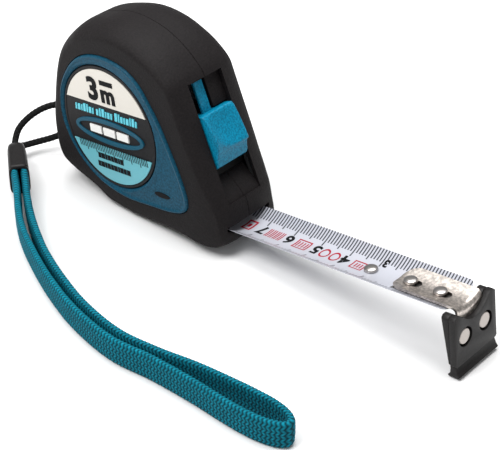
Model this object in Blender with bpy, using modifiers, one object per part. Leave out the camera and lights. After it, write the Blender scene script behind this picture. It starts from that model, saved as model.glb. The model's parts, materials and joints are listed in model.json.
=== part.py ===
"""Pocket tape measure, pulled a little way out and standing on its heel and its end hook.

The case frame has +X along the blade, +Z away from the base and Y across the case, with
its origin under the reel at the flat of the base. Everything is built in that frame and
hangs from one empty, which tips the case back onto its heel and puts the lowest point on
z = 0. The wrist strap lies on that floor, so its route is given in world coordinates.
"""
import bmesh
import bpy
from math import atan2, copysign, cos, pi, radians, sin
from mathutils import Matrix, Vector
from mathutils.geometry import interpolate_bezier

# ---------------------------------------------------------------- driving dimensions, metres
GAP = 0.0003                      # left between pieces that touch or sit in each other
HALF_GAP = GAP / 2

CASE_HALF_WIDTH = 0.0130          # middle of the case to the rubber's side face
CASE_CENTRE = (-0.0030, 0.0270)   # point the case outline is inset towards
CROWN_START = 0.0030              # where across the case the crown begins to fall away
CROWN_DEPTH = 0.0046              # how far the crown falls away by the side face
LOW_CROWN = 0.42                  # share of the crown left at the base
FRONT_CROWN_LOSS = 0.35           # share of the crown lost on the front slope
NOSE_TAPER_START = 0.0245         # the case narrows forward of this
NOSE_TAPER = 0.17                 # share of its width that the tip of the nose loses
FLAT_SHARE = 0.70                 # inner share of each side that is a flat face
GRIP_WALL = 0.0015                # soft grip over the shell
SHELL_WALL = 0.0013               # hard shell under the grip

REEL_CENTRE = (-0.0034, 0.0252)   # axis of the reel
DRUM_RADIUS = 0.0155
DRUM_WALL = 0.0012
DRUM_HALF_WIDTH = 0.0083
COIL_THICKNESS = 0.0039           # 2.92 m of blade wound on the drum
ARBOR_RADIUS = 0.0030
SPRING_TURNS = 6
SPRING_STRIP = 0.0004
SPRING_HALF_WIDTH = 0.0072

BLADE_WIDTH = 0.0160              # measured flat across the strip
BLADE_THICKNESS = 0.0002
BLADE_CAMBER = 0.0027             # depth of the hollow across the blade
BLADE_EDGE_HEIGHT = 0.0034        # height of the blade's edges where it is hollow
HOOK_CHANNEL_FLOOR = 0.0002       # floor of the deeper middle of the blade's passage
MOUTH_X = 0.0337                  # where the blade leaves the case
BLADE_OUT = 0.0753                # zero of the scale beyond the mouth
BLADE_END_GAP = 0.0022            # blade stops this far short of the zero

SIDE_FACE_STEP = 0.0006           # panel stands this proud of the rubber
PANEL_OUTLINE = [(-24.9, 28.0), (-22.4, 38.6), (-14.0, 47.9), (-2.8, 50.6), (8.4, 47.4), (15.2, 38.2),
                 (19.8, 27.5), (23.7, 15.0), (23.5, 9.7), (19.6, 7.0), (9.0, 6.1), (-3.5, 6.2),
                 (-14.5, 10.2), (-22.0, 18.0)]
DISC_CENTRE = (-0.0043, 0.0276)
DISC_RADII = (0.0184, 0.0194)
DISC_RECESS = 0.0009              # label disc lies this far below the panel's face

# Outline of the case at its middle, in millimetres, anticlockwise seen from the label side.
CASE_OUTLINE = [(-33.0, 19.0), (-31.4, 11.8), (-27.3, 8.6), (-17.0, 4.4), (-9.0, 0.88), (0.0, -0.4),
                (14.0, -0.5), (20.5, -0.7), (27.0, -1.7), (32.0, -1.9), (34.4, -0.4), (34.7, 3.4),
                (34.2, 10.2), (29.1, 27.8), (24.0, 45.4), (20.0, 51.0), (14.3, 55.4), (8.0, 58.1),
                (0.0, 59.5), (-8.0, 58.7), (-16.0, 56.2), (-24.6, 48.0), (-31.4, 30.0)]
STRAIGHT_AFTER = (4, 5, 12, 13)      # outline points with a straight run after them

SLOT_TOP = (0.0236, 0.0453)       # upper end of the lock's slot, on the front slope
SLOT_LENGTH = 0.0361
SLOT_HALF_WIDTH = 0.0066
SLOT_DEPTH = 0.0062
SLOT_RAMP_START = 0.0316          # below the top of the slot; the ramp runs from here to its end
LOCK_CLEARANCE = 0.0004
THUMB_START = 0.0097              # below the top of the slot, along the slope
THUMB_LENGTH = 0.0157
THUMB_RISE = 0.0026               # how far the ridge stands out of the slope
ARM_THICKNESS = 0.0014
ARM_LENGTH = 0.0272
ARM_START = 0.0070                # below the top of the slot, along the slope
PAD_LENGTH = 0.0022

STRAP_HOLES = (0.0221, 0.0127)    # heights of the two holes in the heel
STRAP_HOLE_RADIUS = 0.0016

SCREW_PLACES = [(-0.0186, 0.0468), (0.0135, 0.0468), (-0.0218, 0.0102), (0.0200, 0.0130)]
SCREW_NAMES = ("rear_top", "front_top", "rear_bottom", "front_bottom")
BOSS_RADIUS = 0.0025
SCREW_RADIUS = 0.0010
SCREW_HEAD_RADIUS = 0.0017
SCREW_HEAD = 0.0012

HOOK_HALF_WIDTH = 0.0054
HOOK_THICKNESS = 0.0007
HOOK_BEND = 0.0010                # inner radius of the bend into the lip
HOOK_LENGTH = 0.0213              # plate behind the zero of the scale
HOOK_SLIP = 0.0010                # play between a push and a pull
RIVET_PLACES = (-0.0175, -0.0080) # behind the zero of the scale
STOP_RIVET_PLACE = -0.0308
RIVET_RADIUS = 0.0010
RIVET_HEAD_RADIUS = 0.0017
RIVET_HEAD = 0.0007
RIVET_SLOT_CLEARANCE = 0.0004
RIVET_FOOT = 0.0002               # flat head under the blade
RIVET_FOOT_GAP = 0.0001
HOLDER_HALF_WIDTH = 0.0090
HOLDER_TOP = -0.0010              # heights from here on are below the blade's edges
HOLDER_BOTTOM = -0.0160
HOLDER_ARC_DEPTH = 0.0038
HOLDER_ARC_HALF_WIDTH = 0.0066
HOLDER_FRONT = 0.0027             # ahead of the zero of the scale
HOLDER_THICKNESS = 0.0044
FOOT_BOTTOM = -0.0194
FOOT_FRONT = 0.0034
MAGNET_RADIUS = 0.0022
MAGNET_SPACING = 0.0088
MAGNET_HEIGHT = -0.0086
MAGNET_POCKET_RADIUS = 0.0028
MAGNET_THICKNESS = 0.0013

WEB_WIDTH = 0.0080                # strap webbing, standing on its edge
WEB_THICKNESS = 0.0018
CORD_RADIUS = 0.00095
FERRULE_LENGTH = 0.0195
FERRULE_HALF = (0.0036, 0.0050)   # across and up
FERRULE_WALL = 0.0008
FERRULE_SOCKET = 0.0100           # the strap's socket starts this far from the closed end
FERRULE_BACK = (-0.0872, -0.0162, 0.0052)   # world place of its closed end
FERRULE_TURN = radians(-37.5)     # heading of its open end

ROUND = 32                        # sides of a round piece
OUTLINE_STEPS = 3                 # samples between two outline points

# Middle line of the webbing on the floor, world millimetres, from the ferrule out and back.
WEB_ROUTE = [(-77.9, -25.0), (-72.3, -29.3), (-67.0, -33.5), (-59.4, -39.7), (-50.8, -45.0), (-40.0, -50.4),
             (-28.0, -55.4), (-14.0, -59.7), (2.2, -61.9), (15.5, -60.4), (29.0, -59.8), (42.7, -59.8),
             (49.5, -59.2), (54.6, -57.8), (57.2, -55.5), (55.6, -53.2), (50.6, -52.1), (44.3, -52.3),
             (38.2, -52.9), (26.1, -54.6), (14.5, -57.1), (1.9, -58.6), (-13.0, -56.6), (-26.0, -52.7),
             (-37.8, -48.0), (-46.7, -43.4), (-55.3, -37.9), (-63.6, -32.0), (-70.3, -27.2), (-76.3, -22.7)]
# Middle line of the loop cord, world millimetres: out of the ferrule, in at the upper hole,
# down behind the wall, out at the lower hole and back into the ferrule.
CORD_ROUTE = [(-88.6, -15.2, 6.4), (-89.4, -12.4, 9.6), (-87.6, -8.6, 13.2), (-84.6, -4.8, 15.7),
              (-81.0, -1.4, 16.7)]
CORD_RETURN = [(-80.2, -1.4, 6.6), (-83.4, -4.6, 4.9), (-86.2, -8.4, 4.0), (-87.6, -12.2, 4.0), (-88.2, -15.0, 4.4)]


# ---------------------------------------------------------------- small helpers
def clear_scene():
    """Remove every object, mesh, curve and material of the open scene."""
    for obj in list(bpy.data.objects):
        bpy.data.objects.remove(obj, do_unlink=True)


def new_collection(name):
    collection = bpy.data.collections.new(name)
    bpy.context.scene.collection.children.link(collection)
    return collection


def material(name, colour, roughness, metallic=0.0):
    finish = bpy.data.materials.new(name)
    finish.use_nodes = True
    shader = finish.node_tree.nodes["Principled BSDF"]
    shader.inputs["Base Color"].default_value = (*colour, 1.0)
    shader.inputs["Roughness"].default_value = roughness
    shader.inputs["Metallic"].default_value = metallic
    return finish


def add_mesh_object(name, mesh, collection):
    obj = bpy.data.objects.new(name, mesh)
    collection.objects.link(obj)
    return obj


def from_bmesh(name, shape, collection):
    """Close a bmesh off with its faces pointing out and make it an object."""
    bmesh.ops.recalc_face_normals(shape, faces=shape.faces)
    mesh = bpy.data.meshes.new(name)
    shape.to_mesh(mesh)
    shape.free()
    return add_mesh_object(name, mesh, collection)


def loft(name, rings, collection):
    """Skin a closed solid over rings of equally many points, with flat ends."""
    shape = bmesh.new()
    rows = [[shape.verts.new(point) for point in ring] for ring in rings]
    count = len(rows[0])
    for low, high in zip(rows, rows[1:]):
        for i in range(count):
            j = (i + 1) % count
            shape.faces.new((low[i], low[j], high[j], high[i]))
    shape.faces.new(rows[0][::-1])
    shape.faces.new(rows[-1])
    return from_bmesh(name, shape, collection)


def prism(name, outline, y_start, y_end, collection):
    """Solid of one (x, z) outline, straight across the case."""
    return loft(name, [[(x, y, z) for x, z in outline] for y in (y_start, y_end)], collection)


def box(name, size, place, collection, turn_y=0.0):
    """Box with its middle at place, turned about the Y axis."""
    shape = bmesh.new()
    bmesh.ops.create_cube(shape, size=1.0)
    bmesh.ops.scale(shape, vec=size, verts=shape.verts)
    bmesh.ops.rotate(shape, cent=(0, 0, 0), matrix=Matrix.Rotation(turn_y, 3, "Y"), verts=shape.verts)
    bmesh.ops.translate(shape, vec=place, verts=shape.verts)
    return from_bmesh(name, shape, collection)


def cylinder(name, radius, start, end, collection, top_radius=None, sides=ROUND):
    """Round bar from start to end, which may taper to top_radius."""
    start = Vector(start)
    end = Vector(end)
    axis = end - start
    shape = bmesh.new()
    bmesh.ops.create_cone(shape, cap_ends=True, segments=sides, radius1=radius,
                          radius2=radius if top_radius is None else top_radius, depth=axis.length)
    turn = axis.to_track_quat("Z", "Y").to_matrix()
    bmesh.ops.rotate(shape, cent=(0, 0, 0), matrix=turn, verts=shape.verts)
    bmesh.ops.translate(shape, vec=(start + end) / 2, verts=shape.verts)
    return from_bmesh(name, shape, collection)


def turned(name, profile, place, collection):
    """Ring or disc from an (r, y) profile that runs down its outer side, about a line along Y."""
    mesh = bpy.data.meshes.new(name)
    points = [(radius, 0.0, height) for radius, height in profile]
    count = len(points)
    mesh.from_pydata(points, [(i, (i + 1) % count) for i in range(count)], [])
    obj = add_mesh_object(name, mesh, collection)
    spin = obj.modifiers.new("turn", "SCREW")
    spin.axis = "Z"
    spin.steps = ROUND * 2
    spin.render_steps = ROUND * 2
    spin.use_merge_vertices = True
    spin.merge_threshold = 0.00001
    obj.rotation_euler = (-pi / 2, 0, 0)
    obj.location = (place[0], 0, place[1])
    return obj


def cut(obj, *cutters, operation="DIFFERENCE"):
    """Cut, join or trim obj with other objects, which are then only guides."""
    for cutter in cutters:
        modifier = obj.modifiers.new(cutter.name, "BOOLEAN")
        modifier.operation = operation
        modifier.solver = "EXACT"
        modifier.object = cutter
        cutter.hide_render = True
        cutter.display_type = "WIRE"


def smooth_loop(points, straight_after=(), steps=OUTLINE_STEPS):
    """Points along a closed curve through the given (x, z) places, in metres."""
    places = [Vector((x, z)) * 0.001 for x, z in points]
    count = len(places)
    loop = []
    for i, start in enumerate(places):
        end = places[(i + 1) % count]
        if i in straight_after:
            loop.append(start)
            continue
        before = places[i - 1]
        after = places[(i + 2) % count]
        reach = (end - start).length / 3
        leave = (end - before).normalized() * reach
        arrive = (after - start).normalized() * reach
        if (i - 1) % count in straight_after:
            leave = (start - before).normalized() * reach
        if (i + 1) % count in straight_after:
            arrive = (after - end).normalized() * reach
        knots = interpolate_bezier(start.to_3d(), (start + leave).to_3d(), (end - arrive).to_3d(),
                                   end.to_3d(), steps + 1)
        loop += [knot.to_2d() for knot in knots[:-1]]
    return loop


def inset(outline, depth, centre=CASE_CENTRE):
    """Move every point of an outline towards a centre by depth."""
    middle = Vector(centre)
    return [point + (middle - point).normalized() * depth for point in outline]


def ellipse(centre, radii, sides=ROUND * 2):
    steps = [2 * pi * i / sides for i in range(sides)]
    return [Vector((centre[0] + radii[0] * cos(a), centre[1] + radii[1] * sin(a))) for a in steps]


def camber_height(y, depth):
    """Height of the blade's middle surface above its lowest line, y off its centre line."""
    return depth * (2 * y / BLADE_WIDTH) ** 2


# ---------------------------------------------------------------- case
OUTLINE = smooth_loop(CASE_OUTLINE, STRAIGHT_AFTER)
NOSE_TIP = max(point.x for point in OUTLINE)
SLOPE = Vector((CASE_OUTLINE[14][0] - CASE_OUTLINE[12][0], CASE_OUTLINE[14][1] - CASE_OUTLINE[12][1]))
SLOPE_TURN = atan2(-SLOPE.x, SLOPE.y)             # lean of the front slope from upright
SLOPE_DOWN = Vector((sin(SLOPE_TURN), 0, -cos(SLOPE_TURN)))
SLOPE_OUT = Vector((cos(SLOPE_TURN), 0, sin(SLOPE_TURN)))


def crowned_outline(wall, share):
    """Case outline inset by a wall and by a share of the crown, which is shallow at base and front."""
    middle = Vector(CASE_CENTRE)
    outline = []
    for p in OUTLINE:
        low = LOW_CROWN + (1 - LOW_CROWN) * min(1.0, max(0.0, p.y / 0.018))
        front = 1 - FRONT_CROWN_LOSS * min(1.0, max(0.0, (p.x - 0.014) / 0.010))
        outline.append(p + (middle - p).normalized() * (wall + share * CROWN_DEPTH * low * front))
    return outline


def tapered(x, y):
    """Width position y at x, drawn in along the nose."""
    share = max(0.0, (x - NOSE_TAPER_START) / (NOSE_TIP - NOSE_TAPER_START))
    return y * (1 - NOSE_TAPER * share * share)


def crowned_half(name, side, wall, half_width, y_inner, collection):
    """Solid half of the case, wall inside its outer surface and ending at half_width."""
    rings = [[(p.x, side * y_inner, p.y) for p in inset(OUTLINE, wall)]]
    for angle in (30, 52, 70, 82, 90):
        y = CROWN_START + (half_width - CROWN_START) * sin(radians(angle))
        outline = crowned_outline(wall, 1 - cos(radians(angle)))
        rings.append([(p.x, side * tapered(p.x, y), p.y) for p in outline])
    middle = Vector(CASE_CENTRE)
    flat = [middle + (p - middle) * FLAT_SHARE for p in OUTLINE]
    rings.append([(p.x, side * half_width, p.y) for p in flat])
    return loft(name, rings, collection)


def slope_point(down, out):
    """Place on the front slope: down it from the top of the slot, and out of it."""
    return Vector((SLOT_TOP[0], 0, SLOT_TOP[1])) + SLOPE_DOWN * down + SLOPE_OUT * out


def slot_cutter(name, collection):
    """Block that opens the lock's slot through the front slope and leaves a ramp at its lower end."""
    profile = [(0, SLOT_DEPTH), (SLOT_LENGTH, SLOT_DEPTH), (SLOT_LENGTH, -0.0002),
               (SLOT_LENGTH - 0.0018, -0.0010), (SLOT_RAMP_START, -0.0036), (SLOT_RAMP_START, -SLOT_DEPTH),
               (0, -SLOT_DEPTH)]
    outline = [slope_point(down, out) for down, out in profile]
    return prism(name, [Vector((p.x, p.z)) for p in outline], -SLOT_HALF_WIDTH, SLOT_HALF_WIDTH, collection)


def blade_channel(name, collection):
    """Passage for the blade from under the reel out through the mouth."""
    low_out = BLADE_EDGE_HEIGHT - BLADE_CAMBER - 0.0008
    top = BLADE_EDGE_HEIGHT + 0.0011
    outline = [Vector(p) for p in ((REEL_CENTRE[0] - 0.0025, BLADE_LEVEL - 0.0007), (0.020, low_out + 0.0016),
                                   (NOSE_TIP + 0.002, low_out), (NOSE_TIP + 0.002, top),
                                   (REEL_CENTRE[0] - 0.0025, BLADE_LEVEL + 0.0011))]
    half = BLADE_WIDTH / 2 + 0.0006
    return prism(name, outline, -half, half, collection)


def hook_channel(name, collection):
    """Deeper middle of the passage, where the hook's plate and rivets slide in."""
    top = BLADE_EDGE_HEIGHT + 0.0005
    outline = [Vector(p) for p in ((0.002, HOOK_CHANNEL_FLOOR), (NOSE_TIP + 0.002, HOOK_CHANNEL_FLOOR - 0.0004),
                                   (NOSE_TIP + 0.002, top), (0.002, top))]
    half = HOOK_HALF_WIDTH + 0.0006
    return prism(name, outline, -half, half, collection)


def strap_hole_cutters(collection):
    """Bars that open the two strap holes through the heel."""
    deep = -0.0265
    return [cylinder(f"strap_hole_{i}", STRAP_HOLE_RADIUS, (-0.040, 0, z), (deep, 0, z), collection, sides=18)
            for i, z in enumerate(STRAP_HOLES)]


def screw_cutters(side, collection):
    """Screw holes: threaded blind ones on the label side, through ones with a counterbore opposite."""
    cutters = []
    for name, (x, z) in zip(SCREW_NAMES, SCREW_PLACES):
        if side < 0:
            cutters.append(cylinder(f"thread_{name}", SCREW_RADIUS + GAP, (x, -0.0082, z), (x, 0.001, z),
                                    collection, sides=16))
            continue
        cutters.append(cylinder(f"shank_{name}", SCREW_RADIUS + GAP, (x, -0.001, z), (x, 0.020, z),
                                collection, sides=16))
        cutters.append(cylinder(f"counterbore_{name}", SCREW_HEAD_RADIUS + GAP, (x, SCREW_SEAT, z),
                                (x, 0.020, z), collection, sides=20))
    return cutters


BLADE_LEVEL = REEL_CENTRE[1] - DRUM_RADIUS - COIL_THICKNESS - 2 * GAP - BLADE_THICKNESS
SHELL_HALF_WIDTH = CASE_HALF_WIDTH - GRIP_WALL
CAVITY_HALF_WIDTH = SHELL_HALF_WIDTH - SHELL_WALL
SCREW_SEAT = 0.0080
PANEL_FACE = CASE_HALF_WIDTH + SIDE_FACE_STEP


def build_case_side(side, label, parts, guides, finishes):
    """Shell, grip, panel and label disc of one side; side is -1 for the label side."""
    grip = crowned_half(f"grip_{label}", side, 0.0, CASE_HALF_WIDTH, HALF_GAP, parts)
    core = crowned_half(f"grip_core_{label}", side, GRIP_WALL, SHELL_HALF_WIDTH + HALF_GAP, -0.001, guides)
    shell = crowned_half(f"shell_{label}", side, GRIP_WALL + GAP, SHELL_HALF_WIDTH - HALF_GAP,
                         HALF_GAP, parts)
    cavity = crowned_half(f"cavity_{label}", side, GRIP_WALL + GAP + SHELL_WALL, CAVITY_HALF_WIDTH,
                          -0.001, guides)
    bosses = [cylinder(f"boss_{label}_{name}", BOSS_RADIUS, (x, side * HALF_GAP, z),
                       (x, side * (CAVITY_HALF_WIDTH + 0.0005), z), guides, sides=20)
              for name, (x, z) in zip(SCREW_NAMES, SCREW_PLACES)]
    bound = crowned_half(f"boss_bound_{label}", side, GRIP_WALL + 0.0008, SHELL_HALF_WIDTH, HALF_GAP / 2, guides)
    for boss in bosses:
        cut(boss, bound, operation="INTERSECT")
    cut(shell, cavity)
    cut(shell, *bosses, operation="UNION")
    panel_loop = smooth_loop(PANEL_OUTLINE)
    window = prism(f"panel_window_{label}", inset(panel_loop, -GAP, DISC_CENTRE),
                   side * (SHELL_HALF_WIDTH - 0.0001), side * (CASE_HALF_WIDTH + 0.003), guides)
    openings = [slot_cutter(f"slot_{label}", guides), blade_channel(f"channel_{label}", guides),
                hook_channel(f"hook_channel_{label}", guides)]
    openings += strap_hole_cutters(guides)
    openings += screw_cutters(side, guides)
    cut(grip, core, window, *openings)
    cut(shell, *openings)
    panel = prism(f"panel_{label}", panel_loop, side * (SHELL_HALF_WIDTH + HALF_GAP), side * PANEL_FACE, parts)
    disc_hole = prism(f"disc_hole_{label}", ellipse(DISC_CENTRE, DISC_RADII),
                      side * (SHELL_HALF_WIDTH - 0.001), side * (PANEL_FACE + 0.002), guides)
    cut(panel, disc_hole)
    soften(panel, 0.0004)
    disc_radii = [radius - GAP for radius in DISC_RADII]
    disc = prism(f"label_disc_{label}", ellipse(DISC_CENTRE, disc_radii), side * (SHELL_HALF_WIDTH + HALF_GAP),
                 side * (PANEL_FACE - DISC_RECESS), parts)
    for obj, finish in ((grip, "rubber"), (shell, "shell"), (panel, "panel"), (disc, "label")):
        obj.data.materials.append(finishes[finish])
    return [grip, shell, panel, disc]


def soften(obj, width, segments=1, angle=50):
    """Round off the edges of obj that turn by more than angle degrees."""
    bevel = obj.modifiers.new("soft_edges", "BEVEL")
    bevel.width = width
    bevel.segments = segments
    bevel.limit_method = "ANGLE"
    bevel.angle_limit = radians(angle)


def build_screws(parts, finishes):
    screws = []
    for name, (x, z) in zip(SCREW_NAMES, SCREW_PLACES):
        seat = SCREW_SEAT + GAP
        screw = cylinder(f"case_screw_{name}", SCREW_RADIUS, (x, -0.0072, z), (x, seat + 0.0002, z), parts, sides=12)
        head = cylinder(f"head_{name}", SCREW_HEAD_RADIUS, (x, seat, z), (x, seat + SCREW_HEAD, z),
                        GUIDES, sides=20)
        recess = cylinder(f"recess_{name}", SCREW_HEAD_RADIUS * 0.45, (x, seat + SCREW_HEAD * 0.4, z),
                          (x, seat + 0.004, z), GUIDES, sides=6)
        cut(screw, head, operation="UNION")
        cut(screw, recess)
        screw.data.materials.append(finishes["steel"])
        screws.append(screw)
    return screws


# ---------------------------------------------------------------- reel
def build_reel(parts, guides, finishes):
    """Drum with the power spring in it and the rest of the blade wound on it."""
    inner = DRUM_RADIUS - DRUM_WALL
    web = 0.0010
    drum = turned("reel_drum", [(DRUM_RADIUS, DRUM_HALF_WIDTH), (DRUM_RADIUS, -DRUM_HALF_WIDTH),
                                (ARBOR_RADIUS + GAP, -DRUM_HALF_WIDTH),
                                (ARBOR_RADIUS + GAP, web - DRUM_HALF_WIDTH), (inner, web - DRUM_HALF_WIDTH),
                                (inner, DRUM_HALF_WIDTH)], REEL_CENTRE, parts)
    half = BLADE_WIDTH / 2
    coil = turned("blade_coil", [(DRUM_RADIUS + GAP + COIL_THICKNESS, half),
                                 (DRUM_RADIUS + GAP + COIL_THICKNESS, -half),
                                 (DRUM_RADIUS + GAP, -half), (DRUM_RADIUS + GAP, half)], REEL_CENTRE, parts)
    spring = build_power_spring(parts, inner)
    arbor = cylinder("reel_arbor", ARBOR_RADIUS, (REEL_CENTRE[0], HALF_GAP - CAVITY_HALF_WIDTH, REEL_CENTRE[1]),
                     (REEL_CENTRE[0], CAVITY_HALF_WIDTH - GAP, REEL_CENTRE[1]), parts)
    drum.data.materials.append(finishes["drum"])
    coil.data.materials.append(finishes["blade"])
    spring.data.materials.append(finishes["spring"])
    arbor.data.materials.append(finishes["drum"])
    return [drum, coil, spring], arbor


def build_power_spring(parts, drum_inner):
    """Flat strip wound from just off the arbor out to the drum."""
    first = ARBOR_RADIUS + 0.0012
    last = drum_inner - GAP - SPRING_STRIP
    steps = SPRING_TURNS * 18
    rings = []
    for i in range(steps + 1):
        angle = 2 * pi * SPRING_TURNS * i / steps
        radius = first + (last - first) * i / steps
        low = (REEL_CENTRE[0] + radius * cos(angle), REEL_CENTRE[1] + radius * sin(angle))
        high = (REEL_CENTRE[0] + (radius + SPRING_STRIP) * cos(angle),
                REEL_CENTRE[1] + (radius + SPRING_STRIP) * sin(angle))
        half = SPRING_HALF_WIDTH
        rings.append([(low[0], -half, low[1]), (high[0], -half, high[1]),
                      (high[0], half, high[1]), (low[0], half, low[1])])
    return loft("power_spring", rings, parts)


# ---------------------------------------------------------------- blade and hook
ZERO_X = MOUTH_X + BLADE_OUT
BLADE_LOW = BLADE_EDGE_HEIGHT - BLADE_CAMBER


def blade_section(x, camber, middle, sides=9):
    """Closed section across the blade at x, hollow side up."""
    chord = BLADE_WIDTH - 0.25 * camber
    low = middle - camber / 2
    lower = []
    upper = []
    for i in range(sides + 1):
        y = chord * (i / sides - 0.5)
        height = low + camber_height(y, camber)
        lower.append((x, y, height))
        upper.append((x, y, height + BLADE_THICKNESS))
    return lower + upper[::-1]


def build_blade(parts, finishes):
    """Blade from where it leaves the coil to its riveted end: flat inside, hollow outside."""
    middle = BLADE_LOW + BLADE_CAMBER / 2
    start = REEL_CENTRE[0]
    rings = []
    for share in (0.0, 0.3, 0.6, 0.8, 1.0):
        x = start + (MOUTH_X - 0.001 - start) * share
        rings.append(blade_section(x, BLADE_CAMBER * share ** 1.5 + 0.00002, BLADE_LEVEL + (middle - BLADE_LEVEL) * share))
    rings.append(blade_section(ZERO_X - BLADE_END_GAP, BLADE_CAMBER, middle))
    blade = loft("blade_run", rings, parts)
    drill = [cylinder(f"rivet_hole_{i}", RIVET_RADIUS + GAP / 2, (ZERO_X + x, 0, -0.004), (ZERO_X + x, 0, 0.006),
                      GUIDES, sides=16) for i, x in enumerate((*RIVET_PLACES, STOP_RIVET_PLACE))]
    cut(blade, *drill)
    blade.data.materials.append(finishes["blade"])
    return blade


def build_rivet(name, place, seat, parts, finishes):
    """Rivet with a round head on the hollow side and a flat one under the blade."""
    x = ZERO_X + place
    under = BLADE_LOW - RIVET_FOOT_GAP
    rivet = cylinder(name, RIVET_RADIUS, (x, 0, under - RIVET_FOOT / 2), (x, 0, seat + 0.0001), parts, sides=16)
    head = cylinder(f"{name}_head", RIVET_HEAD_RADIUS, (x, 0, seat), (x, 0, seat + RIVET_HEAD), GUIDES,
                    top_radius=RIVET_HEAD_RADIUS * 0.45, sides=20)
    foot = cylinder(f"{name}_foot", RIVET_HEAD_RADIUS * 0.9, (x, 0, under - RIVET_FOOT), (x, 0, under), GUIDES,
                    sides=20)
    cut(rivet, head, foot, operation="UNION")
    rivet.data.materials.append(finishes["steel"])
    return rivet


def hook_section(x, z_shift=0.0, sides=7):
    """Section across the hook's plate, which follows the hollow of the blade."""
    low = BLADE_LOW + BLADE_THICKNESS + GAP + z_shift
    lower = []
    upper = []
    for i in range(sides + 1):
        y = 2 * HOOK_HALF_WIDTH * (i / sides - 0.5)
        height = low + camber_height(y, BLADE_CAMBER)
        lower.append((x, y, height))
        upper.append((x, y, height + HOOK_THICKNESS))
    return lower + upper[::-1]


HOOK_TOP = BLADE_LOW + BLADE_THICKNESS + GAP + HOOK_THICKNESS
LIP_INNER = ZERO_X + HOOK_BEND - 0.0006


def build_hook(parts, guides, finishes):
    """Steel hook: a hollowed plate on the blade, bent down into a lip."""
    rear = ZERO_X - HOOK_LENGTH
    rings = []
    for share in (0.0, 0.25, 0.5, 0.75, 1.0):
        rings.append(hook_section(rear + (LIP_INNER - HOOK_BEND - rear) * share))
    bottom = HOLDER_BOTTOM + BLADE_EDGE_HEIGHT + 0.003
    for angle in (0.35, 0.75, 1.15, 1.5708):
        rings.append(bent_section(rings[4], angle, HOOK_BEND))
    rings.append([(p[0], p[1], bottom) for p in rings[-1]])
    hook = loft("end_hook", rings, parts)
    trim = rounded_end_cutter("hook_end_trim", rear, guides)
    slots = []
    for i, place in enumerate(RIVET_PLACES):
        slots.append(rivet_slot(f"rivet_slot_{i}", ZERO_X + place, guides))
    cut(hook, trim, operation="INTERSECT")
    cut(hook, *slots)
    hook.data.materials.append(finishes["steel"])
    return hook


def bent_section(ring, angle, radius):
    """The plate's last section carried round the bend by angle."""
    count = len(ring) // 2
    moved = []
    for i, (x, y, z) in enumerate(ring):
        partner = ring[len(ring) - 1 - i]
        upper = i >= count
        top = z if upper else partner[2]
        reach = radius + (HOOK_THICKNESS if upper else 0.0)
        pivot_z = top - HOOK_THICKNESS - radius
        moved.append((x + reach * sin(angle), y, pivot_z + reach * cos(angle)))
    return moved


def rounded_end_cutter(name, rear, guides):
    """Upright block over the whole hook whose rear end is round."""
    radius = HOOK_HALF_WIDTH * 1.05
    steps = [radians(a) for a in range(90, 271, 15)]
    outline = [Vector((rear + radius * 0.72 + radius * 0.72 * cos(a), radius * sin(a))) for a in steps]
    outline += [Vector((ZERO_X + 0.006, -radius)), Vector((ZERO_X + 0.006, radius))]
    return loft(name, [[(p.x, p.y, z) for p in outline] for z in (-0.020, 0.010)], guides)


def rivet_slot(name, x, guides):
    """Slot that lets the plate slide back past its rivet."""
    radius = RIVET_RADIUS + RIVET_SLOT_CLEARANCE
    front = x + HOOK_SLIP + 0.0008
    steps = [radians(a) for a in range(-90, 91, 30)]
    outline = [(front + radius * cos(a), radius * sin(a)) for a in steps]
    outline += [(x - radius * cos(a), -radius * sin(a)) for a in steps]
    return loft(name, [[(p[0], p[1], z) for p in outline] for z in (-0.004, 0.008)], guides)


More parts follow.
